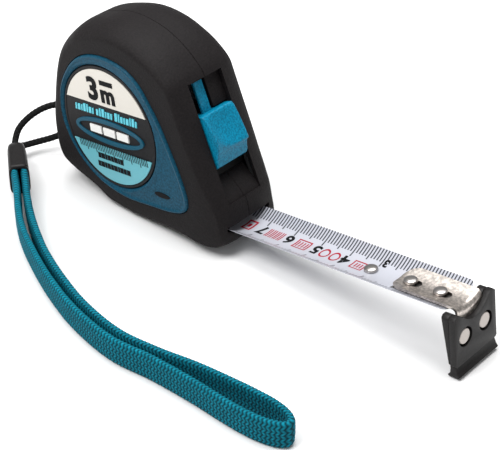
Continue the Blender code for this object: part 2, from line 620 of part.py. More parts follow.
def build_magnet_holder(parts, guides, finishes):
    """Moulded holder on the hook's lip, with a hollowed top, two magnet pockets and a foot."""
    edge = BLADE_EDGE_HEIGHT
    front = ZERO_X + HOLDER_FRONT
    rear = front - HOLDER_THICKNESS
    top = edge + HOLDER_TOP
    low = edge + HOLDER_BOTTOM
    outline = [(-HOLDER_HALF_WIDTH, low), (HOLDER_HALF_WIDTH, low), (HOLDER_HALF_WIDTH, top),
               (HOLDER_ARC_HALF_WIDTH, top)]
    for i in range(1, 8):
        share = 1 - i / 4
        outline.append((HOLDER_ARC_HALF_WIDTH * share, top - HOLDER_ARC_DEPTH * (1 - share * share)))
    outline += [(-HOLDER_ARC_HALF_WIDTH, top), (-HOLDER_HALF_WIDTH, top)]
    holder = loft("magnet_holder", [[(rear, y, z) for y, z in outline], [(front, y, z) for y, z in outline]], parts)
    taper = prism("holder_back_taper", [Vector(p) for p in ((rear - 0.002, top + 0.001), (rear - 0.002, low - 0.001),
                                                           (rear + 0.0019, low - 0.001),
                                                           (rear - 0.0001, top + 0.001))], -0.012, 0.012, guides)
    foot_low = edge + FOOT_BOTTOM
    foot = prism("holder_foot", [Vector(p) for p in ((front - 0.0022, low + 0.0008), (front - 0.0022, foot_low + 0.0012),
                                                    (front - 0.0032, foot_low + 0.0004), (front - 0.0026, foot_low),
                                                    (ZERO_X + FOOT_FRONT - 0.0004, foot_low),
                                                    (ZERO_X + FOOT_FRONT, foot_low + 0.0010),
                                                    (front - 0.0006, low + 0.0008))],
                 0.0004 - HOLDER_HALF_WIDTH, HOLDER_HALF_WIDTH - 0.0004, guides)
    lip_room = box("lip_room", (HOOK_THICKNESS + 2 * GAP, 2 * (HOOK_HALF_WIDTH + GAP), 0.014),
                   (LIP_INNER + HOOK_THICKNESS / 2, 0, low + 0.003 + 0.007 - GAP), guides)
    pockets = [cylinder(f"magnet_pocket_{i}", MAGNET_POCKET_RADIUS,
                        (front - MAGNET_THICKNESS - GAP, side * MAGNET_SPACING / 2, edge + MAGNET_HEIGHT),
                        (front + 0.002, side * MAGNET_SPACING / 2, edge + MAGNET_HEIGHT), guides, sides=24)
               for i, side in enumerate((-1, 1))]
    cut(holder, taper)
    cut(holder, foot, operation="UNION")
    cut(holder, lip_room, *pockets)
    holder.data.materials.append(finishes["holder"])
    return holder



def build_magnets(parts, finishes):
    magnets = []
    front = ZERO_X + HOLDER_FRONT
    height = BLADE_EDGE_HEIGHT + MAGNET_HEIGHT
    for label, side in (("left", -1), ("right", 1)):
        y = side * MAGNET_SPACING / 2
        magnet = cylinder(f"magnet_{label}", MAGNET_RADIUS, (front - MAGNET_THICKNESS, y, height),
                          (front - 0.0003, y, height), parts, sides=24)
        magnet.data.materials.append(finishes["steel"])
        magnets.append(magnet)
    return magnets


# ---------------------------------------------------------------- lock
def build_lock(parts, guides, finishes):
    """Thumb lock: a dished block in the slot, a tongue above it and an arm behind the wall."""
    end = THUMB_START + THUMB_LENGTH
    ridge = THUMB_START + THUMB_LENGTH * 0.70
    face = [(THUMB_START, 0.0002), (THUMB_START + 0.003, 0.0001), (THUMB_START + 0.0062, 0.0006),
            (ridge - 0.0016, 0.0017), (ridge, THUMB_RISE), (ridge + 0.0006, THUMB_RISE - 0.0002),
            (end, -0.0008)]
    back = -(SLOT_DEPTH - 0.0008)
    outline = [slope_point(down, out) for down, out in face]
    outline += [slope_point(end, back), slope_point(THUMB_START, back)]
    half = SLOT_HALF_WIDTH - LOCK_CLEARANCE
    button = prism("lock_button", [Vector((p.x, p.z)) for p in outline], -half, half, parts)
    wall = 0.0044
    arm_mid = slope_point(ARM_START + ARM_LENGTH / 2, -wall - ARM_THICKNESS / 2)
    arm = box("lock_arm_block", (ARM_THICKNESS, 2 * (SLOT_HALF_WIDTH + 0.0010), ARM_LENGTH), arm_mid, guides,
              turn_y=-SLOPE_TURN)
    tongue_length = THUMB_START - 0.0006
    tongue_mid = slope_point(0.0006 + tongue_length / 2 + 0.0002, -0.0012 - 0.0022)
    tongue = box("lock_tongue_block", (0.0044, 0.0036, tongue_length + 0.0008), tongue_mid + Vector((0, -0.0027, 0)),
                 guides, turn_y=-SLOPE_TURN)
    cut(button, arm, tongue, operation="UNION")
    soften(button, 0.0003)
    pad_mid = slope_point(ARM_START + ARM_LENGTH + GAP + PAD_LENGTH / 2, -wall - ARM_THICKNESS / 2)
    pad = box("brake_pad", (ARM_THICKNESS, 0.0120, PAD_LENGTH), pad_mid, parts, turn_y=-SLOPE_TURN)
    button.data.materials.append(finishes["button"])
    pad.data.materials.append(finishes["rubber"])
    return [button, pad]


# ---------------------------------------------------------------- strap
def smooth_path(points, steps):
    """Points along an open curve through the given places, in metres."""
    places = [Vector(p) * 0.001 for p in points]
    path = []
    for i in range(len(places) - 1):
        before = places[max(0, i - 1)]
        start, end = places[i], places[i + 1]
        after = places[min(len(places) - 1, i + 2)]
        reach = (end - start).length / 3
        leave = start + (end - before).normalized() * reach
        arrive = end - (after - start).normalized() * reach
        path += list(interpolate_bezier(start, leave, arrive, end, steps + 1))[:-1]
    return path + [places[-1]]


def build_webbing(parts, finishes):
    """Flat strap standing on its edge, swept along its route."""
    lift = FERRULE_BACK[2] * 1000 - WEB_WIDTH * 500
    path = smooth_path([(x, y, WEB_WIDTH * 500 + lift * min(1.0, max(0.0, (-60.0 - x) / 9.0)))
                        for x, y in WEB_ROUTE], 2)
    rings = []
    for i, place in enumerate(path):
        heading = (path[min(i + 1, len(path) - 1)] - path[max(i - 1, 0)]).normalized()
        across = Vector((-heading.y, heading.x, 0)) * (WEB_THICKNESS / 2)
        up = Vector((0, 0, WEB_WIDTH / 2 - HALF_GAP))
        rings.append([place - across - up, place + across - up, place + across + up, place - across + up])
    webbing = loft("strap_webbing", rings, parts)
    webbing.data.materials.append(finishes["webbing"])
    return webbing


def tube(name, path, radius, parts):
    """Round cord along a list of points."""
    data = bpy.data.curves.new(name, "CURVE")
    data.dimensions = "3D"
    data.bevel_depth = radius
    data.bevel_resolution = 2
    data.use_fill_caps = True
    spline = data.splines.new("POLY")
    spline.points.add(len(path) - 1)
    for knot, place in zip(spline.points, path):
        knot.co = (*place, 1.0)
    obj = bpy.data.objects.new(name, data)
    parts.objects.link(obj)
    return obj


def build_ferrule(parts, guides, finishes):
    """Moulded sleeve that grips both ends of the webbing and the ends of the cord."""
    heading = Vector((cos(FERRULE_TURN), sin(FERRULE_TURN), 0))
    across = Vector((-heading.y, heading.x, 0))
    back = Vector(FERRULE_BACK)
    half_across, half_up = FERRULE_HALF

    def ring(along, share):
        points = []
        for i in range(24):
            a = 2 * pi * (i + 0.5) / 24
            wide = half_across * share * copysign(abs(cos(a)) ** 0.4, cos(a))
            high = half_up * share * copysign(abs(sin(a)) ** 0.4, sin(a))
            points.append(back + heading * along + across * wide + Vector((0, 0, high)))
        return points

    ferrule = loft("strap_ferrule", [ring(0.0, 0.55), ring(0.0008, 0.80), ring(0.0025, 0.97), ring(0.006, 1.0),
                                     ring(FERRULE_LENGTH, 1.0)], parts)
    room = (FERRULE_LENGTH, 2 * (half_across - FERRULE_WALL) - 0.0002, 2 * (half_up - FERRULE_WALL))
    socket = box("ferrule_socket", room, (0, 0, 0), guides)
    socket.location = back + heading * (FERRULE_SOCKET + FERRULE_LENGTH / 2)
    socket.rotation_euler.z = FERRULE_TURN
    cut(ferrule, socket)
    ferrule.data.materials.append(finishes["holder"])
    return ferrule


# ---------------------------------------------------------------- assembly
def pivot(name, place, parent, parts):
    """Empty that a moving group hangs from, on its joint's axis."""
    empty = bpy.data.objects.new(name, None)
    empty.empty_display_size = 0.01
    empty.location = place
    empty.parent = parent
    parts.objects.link(empty)
    return empty


def hang(parent, objects):
    """Parent objects to an empty and keep their places in the case frame."""
    for obj in objects:
        obj.parent = parent
        obj.matrix_parent_inverse = Matrix.Translation(-parent.location)


def stand(root, loose):
    """Tip the case onto its heel and hook, with the bottom middle of its box at the origin."""
    heel = Vector((CASE_OUTLINE[5][0] * 0.001, CASE_OUTLINE[5][1] * 0.001))
    foot = Vector((ZERO_X + HOLDER_FRONT - 0.0026, BLADE_EDGE_HEIGHT + FOOT_BOTTOM))
    tilt = atan2(heel.y - foot.y, foot.x - heel.x)
    root.rotation_euler = (0, -tilt, 0)
    bpy.context.view_layer.update()
    graph = bpy.context.evaluated_depsgraph_get()
    lows = [1.0, 1.0, 1.0]
    highs = [-1.0, -1.0, -1.0]
    for obj in PARTS.objects:
        if obj.type != "MESH" or obj in loose:
            continue
        mesh = obj.evaluated_get(graph).to_mesh()
        for vertex in mesh.vertices:
            place = obj.matrix_world @ vertex.co
            lows = [min(a, b) for a, b in zip(lows, place)]
            highs = [max(a, b) for a, b in zip(highs, place)]
    root.location = (-(lows[0] + highs[0]) / 2, -(lows[1] + highs[1]) / 2, -lows[2])
    bpy.context.view_layer.update()
    return tilt


def cord_path(root):
    """The loop cord's route: its outer leg, the turn inside the case wall and the leg back."""
    top, low = STRAP_HOLES
    reach = (top - low) / 2
    inside = [(-0.0355, 0, top)]
    for degrees in (90, 60, 30, 0, -30, -60, -90):
        a = radians(degrees)
        inside.append((-0.0313 + 0.0045 * cos(a), 0, (top + low) / 2 + reach * sin(a)))
    inside.append((-0.0355, 0, low))
    outside = [Vector(p) * 0.001 for p in CORD_ROUTE]
    turn = [root.matrix_world @ Vector(p) for p in inside]
    back = [Vector(p) * 0.001 for p in CORD_RETURN]
    points = outside + turn + back
    return smooth_path([p * 1000 for p in points], 3)



clear_scene()
PARTS = new_collection("tape_measure")
GUIDES = new_collection("cutters")


def main():
    finishes = {
        "rubber": material("soft_grip", (0.032, 0.028, 0.027), 0.62),
        "shell": material("hard_shell", (0.020, 0.020, 0.021), 0.45),
        "panel": material("blue_panel", (0.020, 0.110, 0.210), 0.40),
        "label": material("label_plate", (0.020, 0.017, 0.017), 0.45),
        "button": material("lock_blue", (0.000, 0.230, 0.450), 0.40),
        "drum": material("reel_plastic", (0.080, 0.080, 0.080), 0.50),
        "blade": material("blade_lacquer", (0.560, 0.580, 0.640), 0.35, 0.2),
        "spring": material("spring_steel", (0.320, 0.330, 0.350), 0.35, 1.0),
        "steel": material("nickel_plate", (0.620, 0.580, 0.530), 0.30, 1.0),
        "holder": material("holder_plastic", (0.030, 0.028, 0.030), 0.50),
        "webbing": material("teal_webbing", (0.000, 0.240, 0.300), 0.80),
        "cord": material("black_cord", (0.015, 0.015, 0.015), 0.80),
    }
    root = bpy.data.objects.new("resting_pose", None)
    PARTS.objects.link(root)
    case = []
    for side, label in ((-1, "left"), (1, "right")):
        case += build_case_side(side, label, PARTS, GUIDES, finishes)
    case += build_screws(PARTS, finishes)
    reel, arbor = build_reel(PARTS, GUIDES, finishes)
    blade = build_blade(PARTS, finishes)
    rivets = [build_rivet(f"hook_rivet_{label}", x, HOOK_TOP + GAP / 2, PARTS, finishes)
              for label, x in zip(("rear", "front"), RIVET_PLACES)]
    rivets.append(build_rivet("stop_rivet", STOP_RIVET_PLACE, BLADE_LOW + BLADE_THICKNESS + GAP, PARTS, finishes))
    hook = [build_hook(PARTS, GUIDES, finishes), build_magnet_holder(PARTS, GUIDES, finishes)]
    hook += build_magnets(PARTS, finishes)
    lock = build_lock(PARTS, GUIDES, finishes)
    hang(root, case + [arbor])
    hang(pivot("reel_axis", (REEL_CENTRE[0], 0, REEL_CENTRE[1]), root, PARTS), reel)
    tape = pivot("tape_slide", (MOUTH_X, 0, BLADE_EDGE_HEIGHT), root, PARTS)
    hang(tape, [blade] + rivets)
    hang(pivot("hook_slide", (ZERO_X, 0, BLADE_EDGE_HEIGHT), root, PARTS), hook)
    lock_place = slope_point(THUMB_START, 0)
    hang(pivot("lock_slide", lock_place, root, PARTS), lock)
    for guide in GUIDES.objects:
        guide.parent = root
    webbing = build_webbing(PARTS, finishes)
    ferrule = build_ferrule(PARTS, GUIDES, finishes)
    for guide in GUIDES.objects:
        if guide.name == "ferrule_socket":
            guide.parent = None
    stand(root, [webbing, ferrule])
    cord = tube("strap_cord", cord_path(root), CORD_RADIUS, PARTS)
    cord.data.materials.append(finishes["cord"])
    for obj in PARTS.objects:
        if obj.type == "MESH":
            obj.data.shade_smooth()
            obj.data.set_sharp_from_angle(angle=radians(35))


main()
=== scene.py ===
"""Looks for a pocket tape measure, built round its frame and laid out as an add-on.

Every piece is modelled in the case frame (+X along the blade, +Z away from the base, Y across
the case, millimetres) and is then tipped onto its heel like the frame's parts.
"""
import json
from math import asin, atan2, copysign, cos, pi, radians, sin

import bmesh
import bpy
import numpy as np
from mathutils import Matrix, Vector
from mathutils.geometry import interpolate_bezier


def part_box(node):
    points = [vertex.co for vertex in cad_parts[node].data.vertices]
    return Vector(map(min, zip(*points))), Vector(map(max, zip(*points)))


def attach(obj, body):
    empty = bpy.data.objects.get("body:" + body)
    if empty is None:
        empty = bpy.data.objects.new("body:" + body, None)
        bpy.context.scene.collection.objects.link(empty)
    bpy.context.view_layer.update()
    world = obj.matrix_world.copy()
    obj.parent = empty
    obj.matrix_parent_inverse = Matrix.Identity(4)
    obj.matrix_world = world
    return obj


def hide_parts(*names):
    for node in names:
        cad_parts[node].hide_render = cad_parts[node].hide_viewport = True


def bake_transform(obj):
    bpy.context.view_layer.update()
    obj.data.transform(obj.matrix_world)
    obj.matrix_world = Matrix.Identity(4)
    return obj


bl_info = {
    "name": "Pocket Tape Measure",
    "version": (1, 0, 0),
    "blender": (4, 5, 0),
    "location": "3D Viewport > Sidebar > Tape",
    "description": "Builds the looks of a pocket tape measure round its frame",
    "category": "Object",
}

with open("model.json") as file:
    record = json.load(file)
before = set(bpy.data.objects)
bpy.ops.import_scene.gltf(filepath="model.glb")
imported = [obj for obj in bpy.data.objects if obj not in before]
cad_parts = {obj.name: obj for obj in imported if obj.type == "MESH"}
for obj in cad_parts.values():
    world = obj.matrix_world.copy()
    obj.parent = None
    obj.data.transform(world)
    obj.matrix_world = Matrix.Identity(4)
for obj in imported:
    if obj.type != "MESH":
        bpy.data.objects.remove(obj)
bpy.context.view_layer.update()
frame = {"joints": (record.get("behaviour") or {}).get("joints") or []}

# ---------------------------------------------------------------- sizes, millimetres
GAP = 0.3                        # between the frame's pieces
HALF_WIDTH = 13.0
CASE_CENTRE = Vector((-3.0, 27.0))
CROWN_START = 3.0
CROWN_DEPTH = 4.6
LOW_CROWN = 0.42
FRONT_CROWN_LOSS = 0.35
NOSE_TAPER_START = 24.5
NOSE_TAPER = 0.17
GRIP_WALL = 1.5
CASE_OUTLINE = [(-33.0, 19.0), (-31.4, 11.8), (-27.3, 8.6), (-17.0, 4.4), (-9.0, 0.88), (0.0, -0.4),
                (14.0, -0.5), (20.5, -0.7), (27.0, -1.7), (32.0, -1.9), (34.4, -0.4), (34.7, 3.4),
                (34.2, 10.2), (29.1, 27.8), (24.0, 45.4), (20.0, 51.0), (14.3, 55.4), (8.0, 58.1),
                (0.0, 59.5), (-8.0, 58.7), (-16.0, 56.2), (-24.6, 48.0), (-31.4, 30.0)]
STRAIGHT_AFTER = (4, 5, 12, 13)
PANEL_OUTLINE = [(-24.9, 28.0), (-22.4, 38.6), (-14.0, 47.9), (-2.8, 50.6), (8.4, 47.4), (15.2, 38.2),
                 (19.8, 27.5), (23.7, 15.0), (23.5, 9.7), (19.6, 7.0), (9.0, 6.1), (-3.5, 6.2),
                 (-14.5, 10.2), (-22.0, 18.0)]
DISC_CENTRE = Vector((-4.9, 27.9))
DISC_RADII = (18.9, 19.4)
DISC_FACE = 13.0
SEGMENT_RADII = (17.6, 18.1)
RIM_SIDES = 96
SCREW_PLACES = [(-18.6, 46.8), (13.5, 46.8), (-21.8, 10.2)]
STRAP_HOLES = (22.1, 12.7)
SLOT_TOP = Vector((23.6, 0, 45.3))
SLOT_LENGTH = 36.1
SLOT_HALF_WIDTH = 6.6
SLOPE_TURN = atan2(10.2, 35.2)
SLOPE_DOWN = Vector((sin(SLOPE_TURN), 0, -cos(SLOPE_TURN)))
SLOPE_OUT = Vector((cos(SLOPE_TURN), 0, sin(SLOPE_TURN)))
RAMP_LENGTH = 7.4
RAMP_DEPTH = 3.9
THUMB_START = 9.7
THUMB_END = 25.4
THUMB_HALF = 6.15
REEL_CENTRE = Vector((-3.4, 0, 25.2))

BLADE_WIDTH = 16.0
BLADE_EDGE = 3.4
BLADE_CAMBER = 2.7
BLADE_LOW = BLADE_EDGE - BLADE_CAMBER
BLADE_LEVEL = 4.9
BLADE_THICKNESS = 0.2
STRIP_STEPS = 28                 # across the blade
ZERO_X = 109.0
BLADE_END = ZERO_X - 2.2
LEVEL_X = 14.0                   # the blade has its full hollow forward of this
RUN_START, RUN_END = 14.5, 72.0
HOOK_REAR = ZERO_X - 21.3
HOOK_HALF = 5.4
HOOK_STEEL = 0.7
RIVETS = (-17.5, -8.0)
STOP_RIVET = -30.8
HOLDER_HALF = 9.0
HOLDER_TOP = BLADE_EDGE - 1.0
HOLDER_LOW = BLADE_EDGE - 16.0
HOLDER_FRONT = ZERO_X + 2.7
FOOT_LOW = BLADE_EDGE - 19.4
MAGNET_SIDE = 4.4
MAGNET_HEIGHT = BLADE_EDGE - 8.6

WEB_WIDTH = 8.0
WEB_THICKNESS = 1.8
CORD_RADIUS = 0.95
FERRULE_BACK = Vector((-87.2, -16.2, 5.2))
FERRULE_TURN = radians(-37.5)
FERRULE_LENGTH = 18.4
WEB_ROUTE = [(-77.9, -25.0), (-72.3, -29.3), (-66.9, -33.3), (-59.2, -39.5), (-50.8, -45.0), (-40.0, -50.4),
             (-28.0, -55.4), (-14.0, -59.7), (2.2, -61.9), (15.5, -60.4), (29.0, -59.8), (42.7, -59.8),
             (49.5, -59.2), (54.6, -57.8), (57.2, -55.5), (55.6, -53.2), (50.6, -52.1), (44.3, -52.3),
             (38.2, -52.9), (26.1, -54.6), (14.5, -57.1), (1.9, -58.6), (-13.0, -56.6), (-26.0, -52.7),
             (-37.8, -48.0), (-46.7, -43.4), (-55.5, -38.1), (-63.8, -32.3), (-70.3, -27.2), (-76.3, -22.7)]
CORD_ROUTE = [(-86.2, -17.2, 5.6), (-88.6, -15.2, 6.4), (-89.4, -12.4, 9.6), (-87.6, -8.6, 13.2),
              (-84.6, -4.8, 15.7), (-81.0, -1.4, 16.7)]
CORD_RETURN = [(-80.2, -1.4, 6.6), (-83.4, -4.6, 4.9), (-86.2, -8.4, 4.0), (-87.6, -12.2, 4.0),
               (-88.2, -15.0, 4.4), (-86.1, -17.2, 4.8)]

PULL = Vector(next(j for j in frame["joints"] if j["name"] == "tape_pull")["axis"]).normalized()
TILT = atan2(PULL.z, PULL.x)
TURN = Matrix.Rotation(-TILT, 4, "Y")
REEL_LOW, REEL_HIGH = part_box("reel_drum")
REEL_PLACE = (REEL_LOW + REEL_HIGH) / 2
CASE = Matrix.Translation(REEL_PLACE - TURN @ (REEL_CENTRE * 0.001)) @ TURN @ Matrix.Scale(0.001, 4)
WORLD = Matrix.Scale(0.001, 4)

# name, place in metres, size in metres, watts
LIGHTS = (("Key", (-0.18, -0.45, 0.80), 0.5, 7.0), ("Fill", (0.75, -0.10, 0.45), 0.5, 0.4),
          ("Top", (-0.10, 0.20, 0.90), 0.8, 10.0), ("Side", (-0.75, -0.45, 0.30), 0.45, 0.6))
FLOOR_DROP = -0.0002              # metres, so that the floor and the base don't share a plane


# ---------------------------------------------------------------- properties
def colour(name, value, description):
    return bpy.props.FloatVectorProperty(name=name, description=description, subtype="COLOR", size=3,
                                         min=0.0, max=1.0, default=value)


class TapeProperties(bpy.types.PropertyGroup):
    """Colours and finishes of the tape measure."""
    rubber_colour: colour("Grip colour", (0.0072, 0.0056, 0.0060), "Soft grip round the case")
    panel_colour: colour("Panel colour", (0.0040, 0.0560, 0.0980), "Raised panel on each side")
    button_colour: colour("Lock colour", (0.0010, 0.1650, 0.2800), "Thumb lock and its tongue")
    cream_colour: colour("Upper label colour", (0.6700, 0.6350, 0.5750), "Upper segment of the label")
    teal_colour: colour("Lower label colour", (0.1250, 0.4300, 0.5000), "Lower segment of the label")
    blade_colour: colour("Blade colour", (0.4500, 0.4600, 0.5100), "Lacquered face of the blade")
    mark_colour: colour("Approval mark colour", (0.2900, 0.0100, 0.0260), "Printed marks between the figures")
    webbing_colour: colour("Strap colour", (0.0015, 0.1450, 0.2050), "Woven wrist strap")
    grain_depth: bpy.props.FloatProperty(name="Grip grain", description="Strength of the grip's fine grain",
                                         default=0.5, min=0.0, max=1.0)
    weave_depth: bpy.props.FloatProperty(name="Weave relief", description="Height of the strap's stitches",
                                         default=0.00016, min=0.0, max=0.0005, unit="LENGTH")
    tick_width: bpy.props.FloatProperty(name="Tick width", description="Width of the blade's printed lines",
                                        default=0.00042, min=0.0001, max=0.0005, unit="LENGTH")
    light_strength: bpy.props.FloatProperty(name="Light", description="Strength of the soft lights",
                                            default=1.0, min=0.0, max=5.0)


def settings():
    return bpy.context.scene.tape_measure


# ---------------------------------------------------------------- node groups
def new_group(name, inputs, outputs):
    """Empty shader group with (name, socket type, default) inputs and (name, type) outputs."""
    group = bpy.data.node_groups.new(name, "ShaderNodeTree")
    for label, kind, default in inputs:
        socket = group.interface.new_socket(label, in_out="INPUT", socket_type=kind)
        if default is not None:
            socket.default_value = default
    for label, kind in outputs:
        group.interface.new_socket(label, in_out="OUTPUT", socket_type=kind)
    return group, group.nodes.new("NodeGroupInput"), group.nodes.new("NodeGroupOutput")


def math_node(tree, operation, *values):
    """Math node whose inputs are numbers or sockets; returns its output."""
    node = tree.nodes.new("ShaderNodeMath")
    node.operation = operation
    for socket, value in zip(node.inputs, values):
        if isinstance(value, (int, float)):
            socket.default_value = value
        else:
            tree.links.new(value, socket)
    return node.outputs[0]


def grain_group():
    """Fine two-scale grain: a bumped normal and a mottle value."""
    if "Fine Grain" in bpy.data.node_groups:
        return bpy.data.node_groups["Fine Grain"]
    group, start, end = new_group(
        "Fine Grain", [("Scale", "NodeSocketFloat", 1.0), ("Strength", "NodeSocketFloat", 0.2),
                       ("Distance", "NodeSocketFloat", 0.0001)],
        [("Normal", "NodeSocketVector"), ("Mottle", "NodeSocketFloat")])
    place = group.nodes.new("ShaderNodeTexCoord")
    fine = group.nodes.new("ShaderNodeTexNoise")
    coarse = group.nodes.new("ShaderNodeTexNoise")
    for noise, scale, detail in ((fine, 2400.0, 3.0), (coarse, 700.0, 2.0)):
        group.links.new(math_node(group, "MULTIPLY", start.outputs["Scale"], scale), noise.inputs["Scale"])
        group.links.new(place.outputs["Object"], noise.inputs["Vector"])
        noise.inputs["Detail"].default_value = detail
    relief = math_node(group, "MULTIPLY", coarse.outputs["Fac"], 0.6)
    height = math_node(group, "ADD", fine.outputs["Fac"], relief)
    bump = group.nodes.new("ShaderNodeBump")
    group.links.new(start.outputs["Strength"], bump.inputs["Strength"])
    group.links.new(start.outputs["Distance"], bump.inputs["Distance"])
    group.links.new(height, bump.inputs["Height"])
    group.links.new(bump.outputs["Normal"], end.inputs["Normal"])
    mottle = math_node(group, "MULTIPLY", math_node(group, "SUBTRACT", fine.outputs["Fac"], 0.36), 3.6)
    mottle = math_node(group, "MINIMUM", math_node(group, "MAXIMUM", mottle, 0.0), 1.0)
    group.links.new(mottle, end.inputs["Mottle"])
    return group


def print_group():
    """Mask of the blade's printed lines, from object coordinates in metres."""
    if "Scale Print" in bpy.data.node_groups:
        return bpy.data.node_groups["Scale Print"]
    group, start, end = new_group(
        "Scale Print", [("Line Width", "NodeSocketFloat", 0.24), ("Along", "NodeSocketVector", (1, 0, 0)),
                        ("Zero", "NodeSocketFloat", 0.0)], [("Mask", "NodeSocketFloat")])
    place = group.nodes.new("ShaderNodeTexCoord")
    dot = group.nodes.new("ShaderNodeVectorMath")
    dot.operation = "DOT_PRODUCT"
    group.links.new(place.outputs["Object"], dot.inputs[0])
    group.links.new(start.outputs["Along"], dot.inputs[1])
    split = group.nodes.new("ShaderNodeSeparateXYZ")
    group.links.new(place.outputs["Object"], split.inputs[0])
    reach = math_node(group, "SUBTRACT", start.outputs["Zero"], dot.outputs["Value"])
    reach = math_node(group, "MULTIPLY", reach, 1000.0)
    across = math_node(group, "MULTIPLY", split.outputs["Y"], 1000.0)
    count = math_node(group, "ROUND", reach)
    off_line = math_node(group, "ABSOLUTE", math_node(group, "SUBTRACT", reach, count))
    half_line = math_node(group, "MULTIPLY", start.outputs["Line Width"], 0.5)
    line = math_node(group, "LESS_THAN", off_line, half_line)
    shifted = math_node(group, "ADD", count, 0.25)
    fives, tens = (math_node(group, "LESS_THAN", math_node(group, "FLOORED_MODULO", shifted, step), 0.5)
                   for step in (5.0, 10.0))
    marks = None
    for sign, base in ((1.0, 3.7), (-1.0, 2.0)):
        length = math_node(group, "ADD", math_node(group, "MULTIPLY", fives, 0.8), base)
        length = math_node(group, "ADD", length, math_node(group, "MULTIPLY", tens, 0.8))
        place_across = math_node(group, "MULTIPLY", across, sign)
        from_edge = math_node(group, "SUBTRACT", BLADE_WIDTH / 2 - 0.35, place_across)
        side = math_node(group, "LESS_THAN", from_edge, length)
        side = math_node(group, "MULTIPLY", side, line)
        marks = side if marks is None else math_node(group, "MAXIMUM", marks, side)
    group.links.new(marks, end.inputs["Mask"])
    return group


# ---------------------------------------------------------------- materials
def mix_base(tree, factor, low, high):
    """Base colour that goes from low to high with a factor socket."""
    mix = tree.nodes.new("ShaderNodeMix")
    mix.data_type = "RGBA"
    mix.inputs[6].default_value = (*low, 1.0)
    mix.inputs[7].default_value = (*high, 1.0)
    tree.links.new(factor, mix.inputs["Factor"])
    tree.links.new(mix.outputs[2], tree.nodes["Principled BSDF"].inputs["Base Color"])


def material(name, base, roughness, metallic=0.0, grain=None, coat=0.0, specular=0.5):
    """Principled material; grain is (scale, strength, distance in metres) of the fine grain."""
    if name in bpy.data.materials:
        return bpy.data.materials[name]
    made = bpy.data.materials.new(name)
    made.use_nodes = True
    tree = made.node_tree
    shader = tree.nodes["Principled BSDF"]
    shader.inputs["Base Color"].default_value = (*base, 1.0)
    shader.inputs["Roughness"].default_value = roughness
    shader.inputs["Metallic"].default_value = metallic
    shader.inputs["Coat Weight"].default_value = coat
    shader.inputs["Coat Roughness"].default_value = 0.2
    shader.inputs["Specular IOR Level"].default_value = specular
    if grain:
        node = tree.nodes.new("ShaderNodeGroup")
        node.node_tree = grain_group()
        for label, value in zip(("Scale", "Strength", "Distance"), grain):
            node.inputs[label].default_value = value
        tree.links.new(node.outputs["Normal"], shader.inputs["Normal"])
        mix_base(tree, node.outputs["Mottle"], [c * 0.72 for c in base], [min(1.0, c * 1.28) for c in base])
    return made


def rubber():
    s = settings()
    return material("Soft Grip", s.rubber_colour, 0.66, grain=(0.8, s.grain_depth, 0.00025), specular=0.18)


def shell_black():
    return material("Inner Case", (0.004, 0.004, 0.004), 0.6, grain=(0.6, 0.1, 0.0001), specular=0.15)


def holder_black():
    return material("Holder Plastic", (0.0095, 0.0085, 0.0085), 0.42, grain=(0.7, 0.08, 0.0001), specular=0.2)


def panel_blue():
    return material("Panel Plastic", settings().panel_colour, 0.46, grain=(0.8, 0.10, 0.0001), specular=0.14)


def lock_blue():
    return material("Lock Plastic", settings().button_colour, 0.42, grain=(0.8, 0.08, 0.0001), specular=0.16)


def label_black():
    return material("Label Black", (0.0070, 0.0065, 0.0075), 0.5, grain=(0.8, 0.06, 0.0001), specular=0.2)


def nickel():
    return material("Nickel", (0.60, 0.545, 0.500), 0.34, metallic=1.0, grain=(0.5, 0.12, 0.00006))


def ink():
    return material("Black Ink", (0.005, 0.005, 0.006), 0.6, specular=0.1)


def blade_print():
    """Lacquer with the printed scale on it."""
    if "Blade Print" in bpy.data.materials:
        return bpy.data.materials["Blade Print"]
    s = settings()
    made = material("Blade Print", s.blade_colour, 0.30, metallic=0.15, coat=0.35)
    scale = made.node_tree.nodes.new("ShaderNodeGroup")
    scale.node_tree = print_group()
    scale.inputs["Line Width"].default_value = s.tick_width * 1000
    scale.inputs["Along"].default_value = PULL
    scale.inputs["Zero"].default_value = (CASE @ Vector((ZERO_X, 0, 2.0))).dot(PULL)
    mix_base(made.node_tree, scale.outputs["Mask"], s.blade_colour, (0.022, 0.024, 0.034))
    return made


def woven(name, base, stitch_hollow_shade):
    """Cloth whose colour goes from painted shade in the hollows between stitches to the base colour on their
    tops, keyed to the mesh's own "stitch" heights.
    """
    if name in bpy.data.materials:
        return bpy.data.materials[name]
    made = material(name, base, 0.85, specular=0.12)
    stitch = made.node_tree.nodes.new("ShaderNodeAttribute")
    stitch.attribute_name = "stitch"
    mix_base(made.node_tree, stitch.outputs["Fac"], stitch_hollow_shade, base)
    return made


# ---------------------------------------------------------------- mesh helpers
def link(name, data):
    obj = bpy.data.objects.new(name, data)
    bpy.context.scene.collection.objects.link(obj)
    return obj


def outward(shape):
    """Turn every face of a closed mesh outwards."""
    bmesh.ops.recalc_face_normals(shape, faces=shape.faces)
    if shape.calc_volume(signed=True) < 0:
        bmesh.ops.reverse_faces(shape, faces=shape.faces)


def from_bmesh(name, shape):
    outward(shape)
    mesh = bpy.data.meshes.new(name)
    shape.to_mesh(mesh)
    shape.free()
    return link(name, mesh)


def loft(name, rings, caps=True, closed=False):
    """Skin over rings of equally many points; closed joins the last ring to the first."""
    shape = bmesh.new()
    rows = [[shape.verts.new(p) for p in ring] for ring in rings]
    count = len(rows[0])
    pairs = list(zip(rows, rows[1:])) + ([(rows[-1], rows[0])] if closed else [])
    for low, high in pairs:
        for i in range(count):
            j = (i + 1) % count
            shape.faces.new((low[i], low[j], high[j], high[i]))
    if caps and not closed:
        shape.faces.new(rows[0][::-1])
        shape.faces.new(rows[-1])
    return from_bmesh(name, shape)


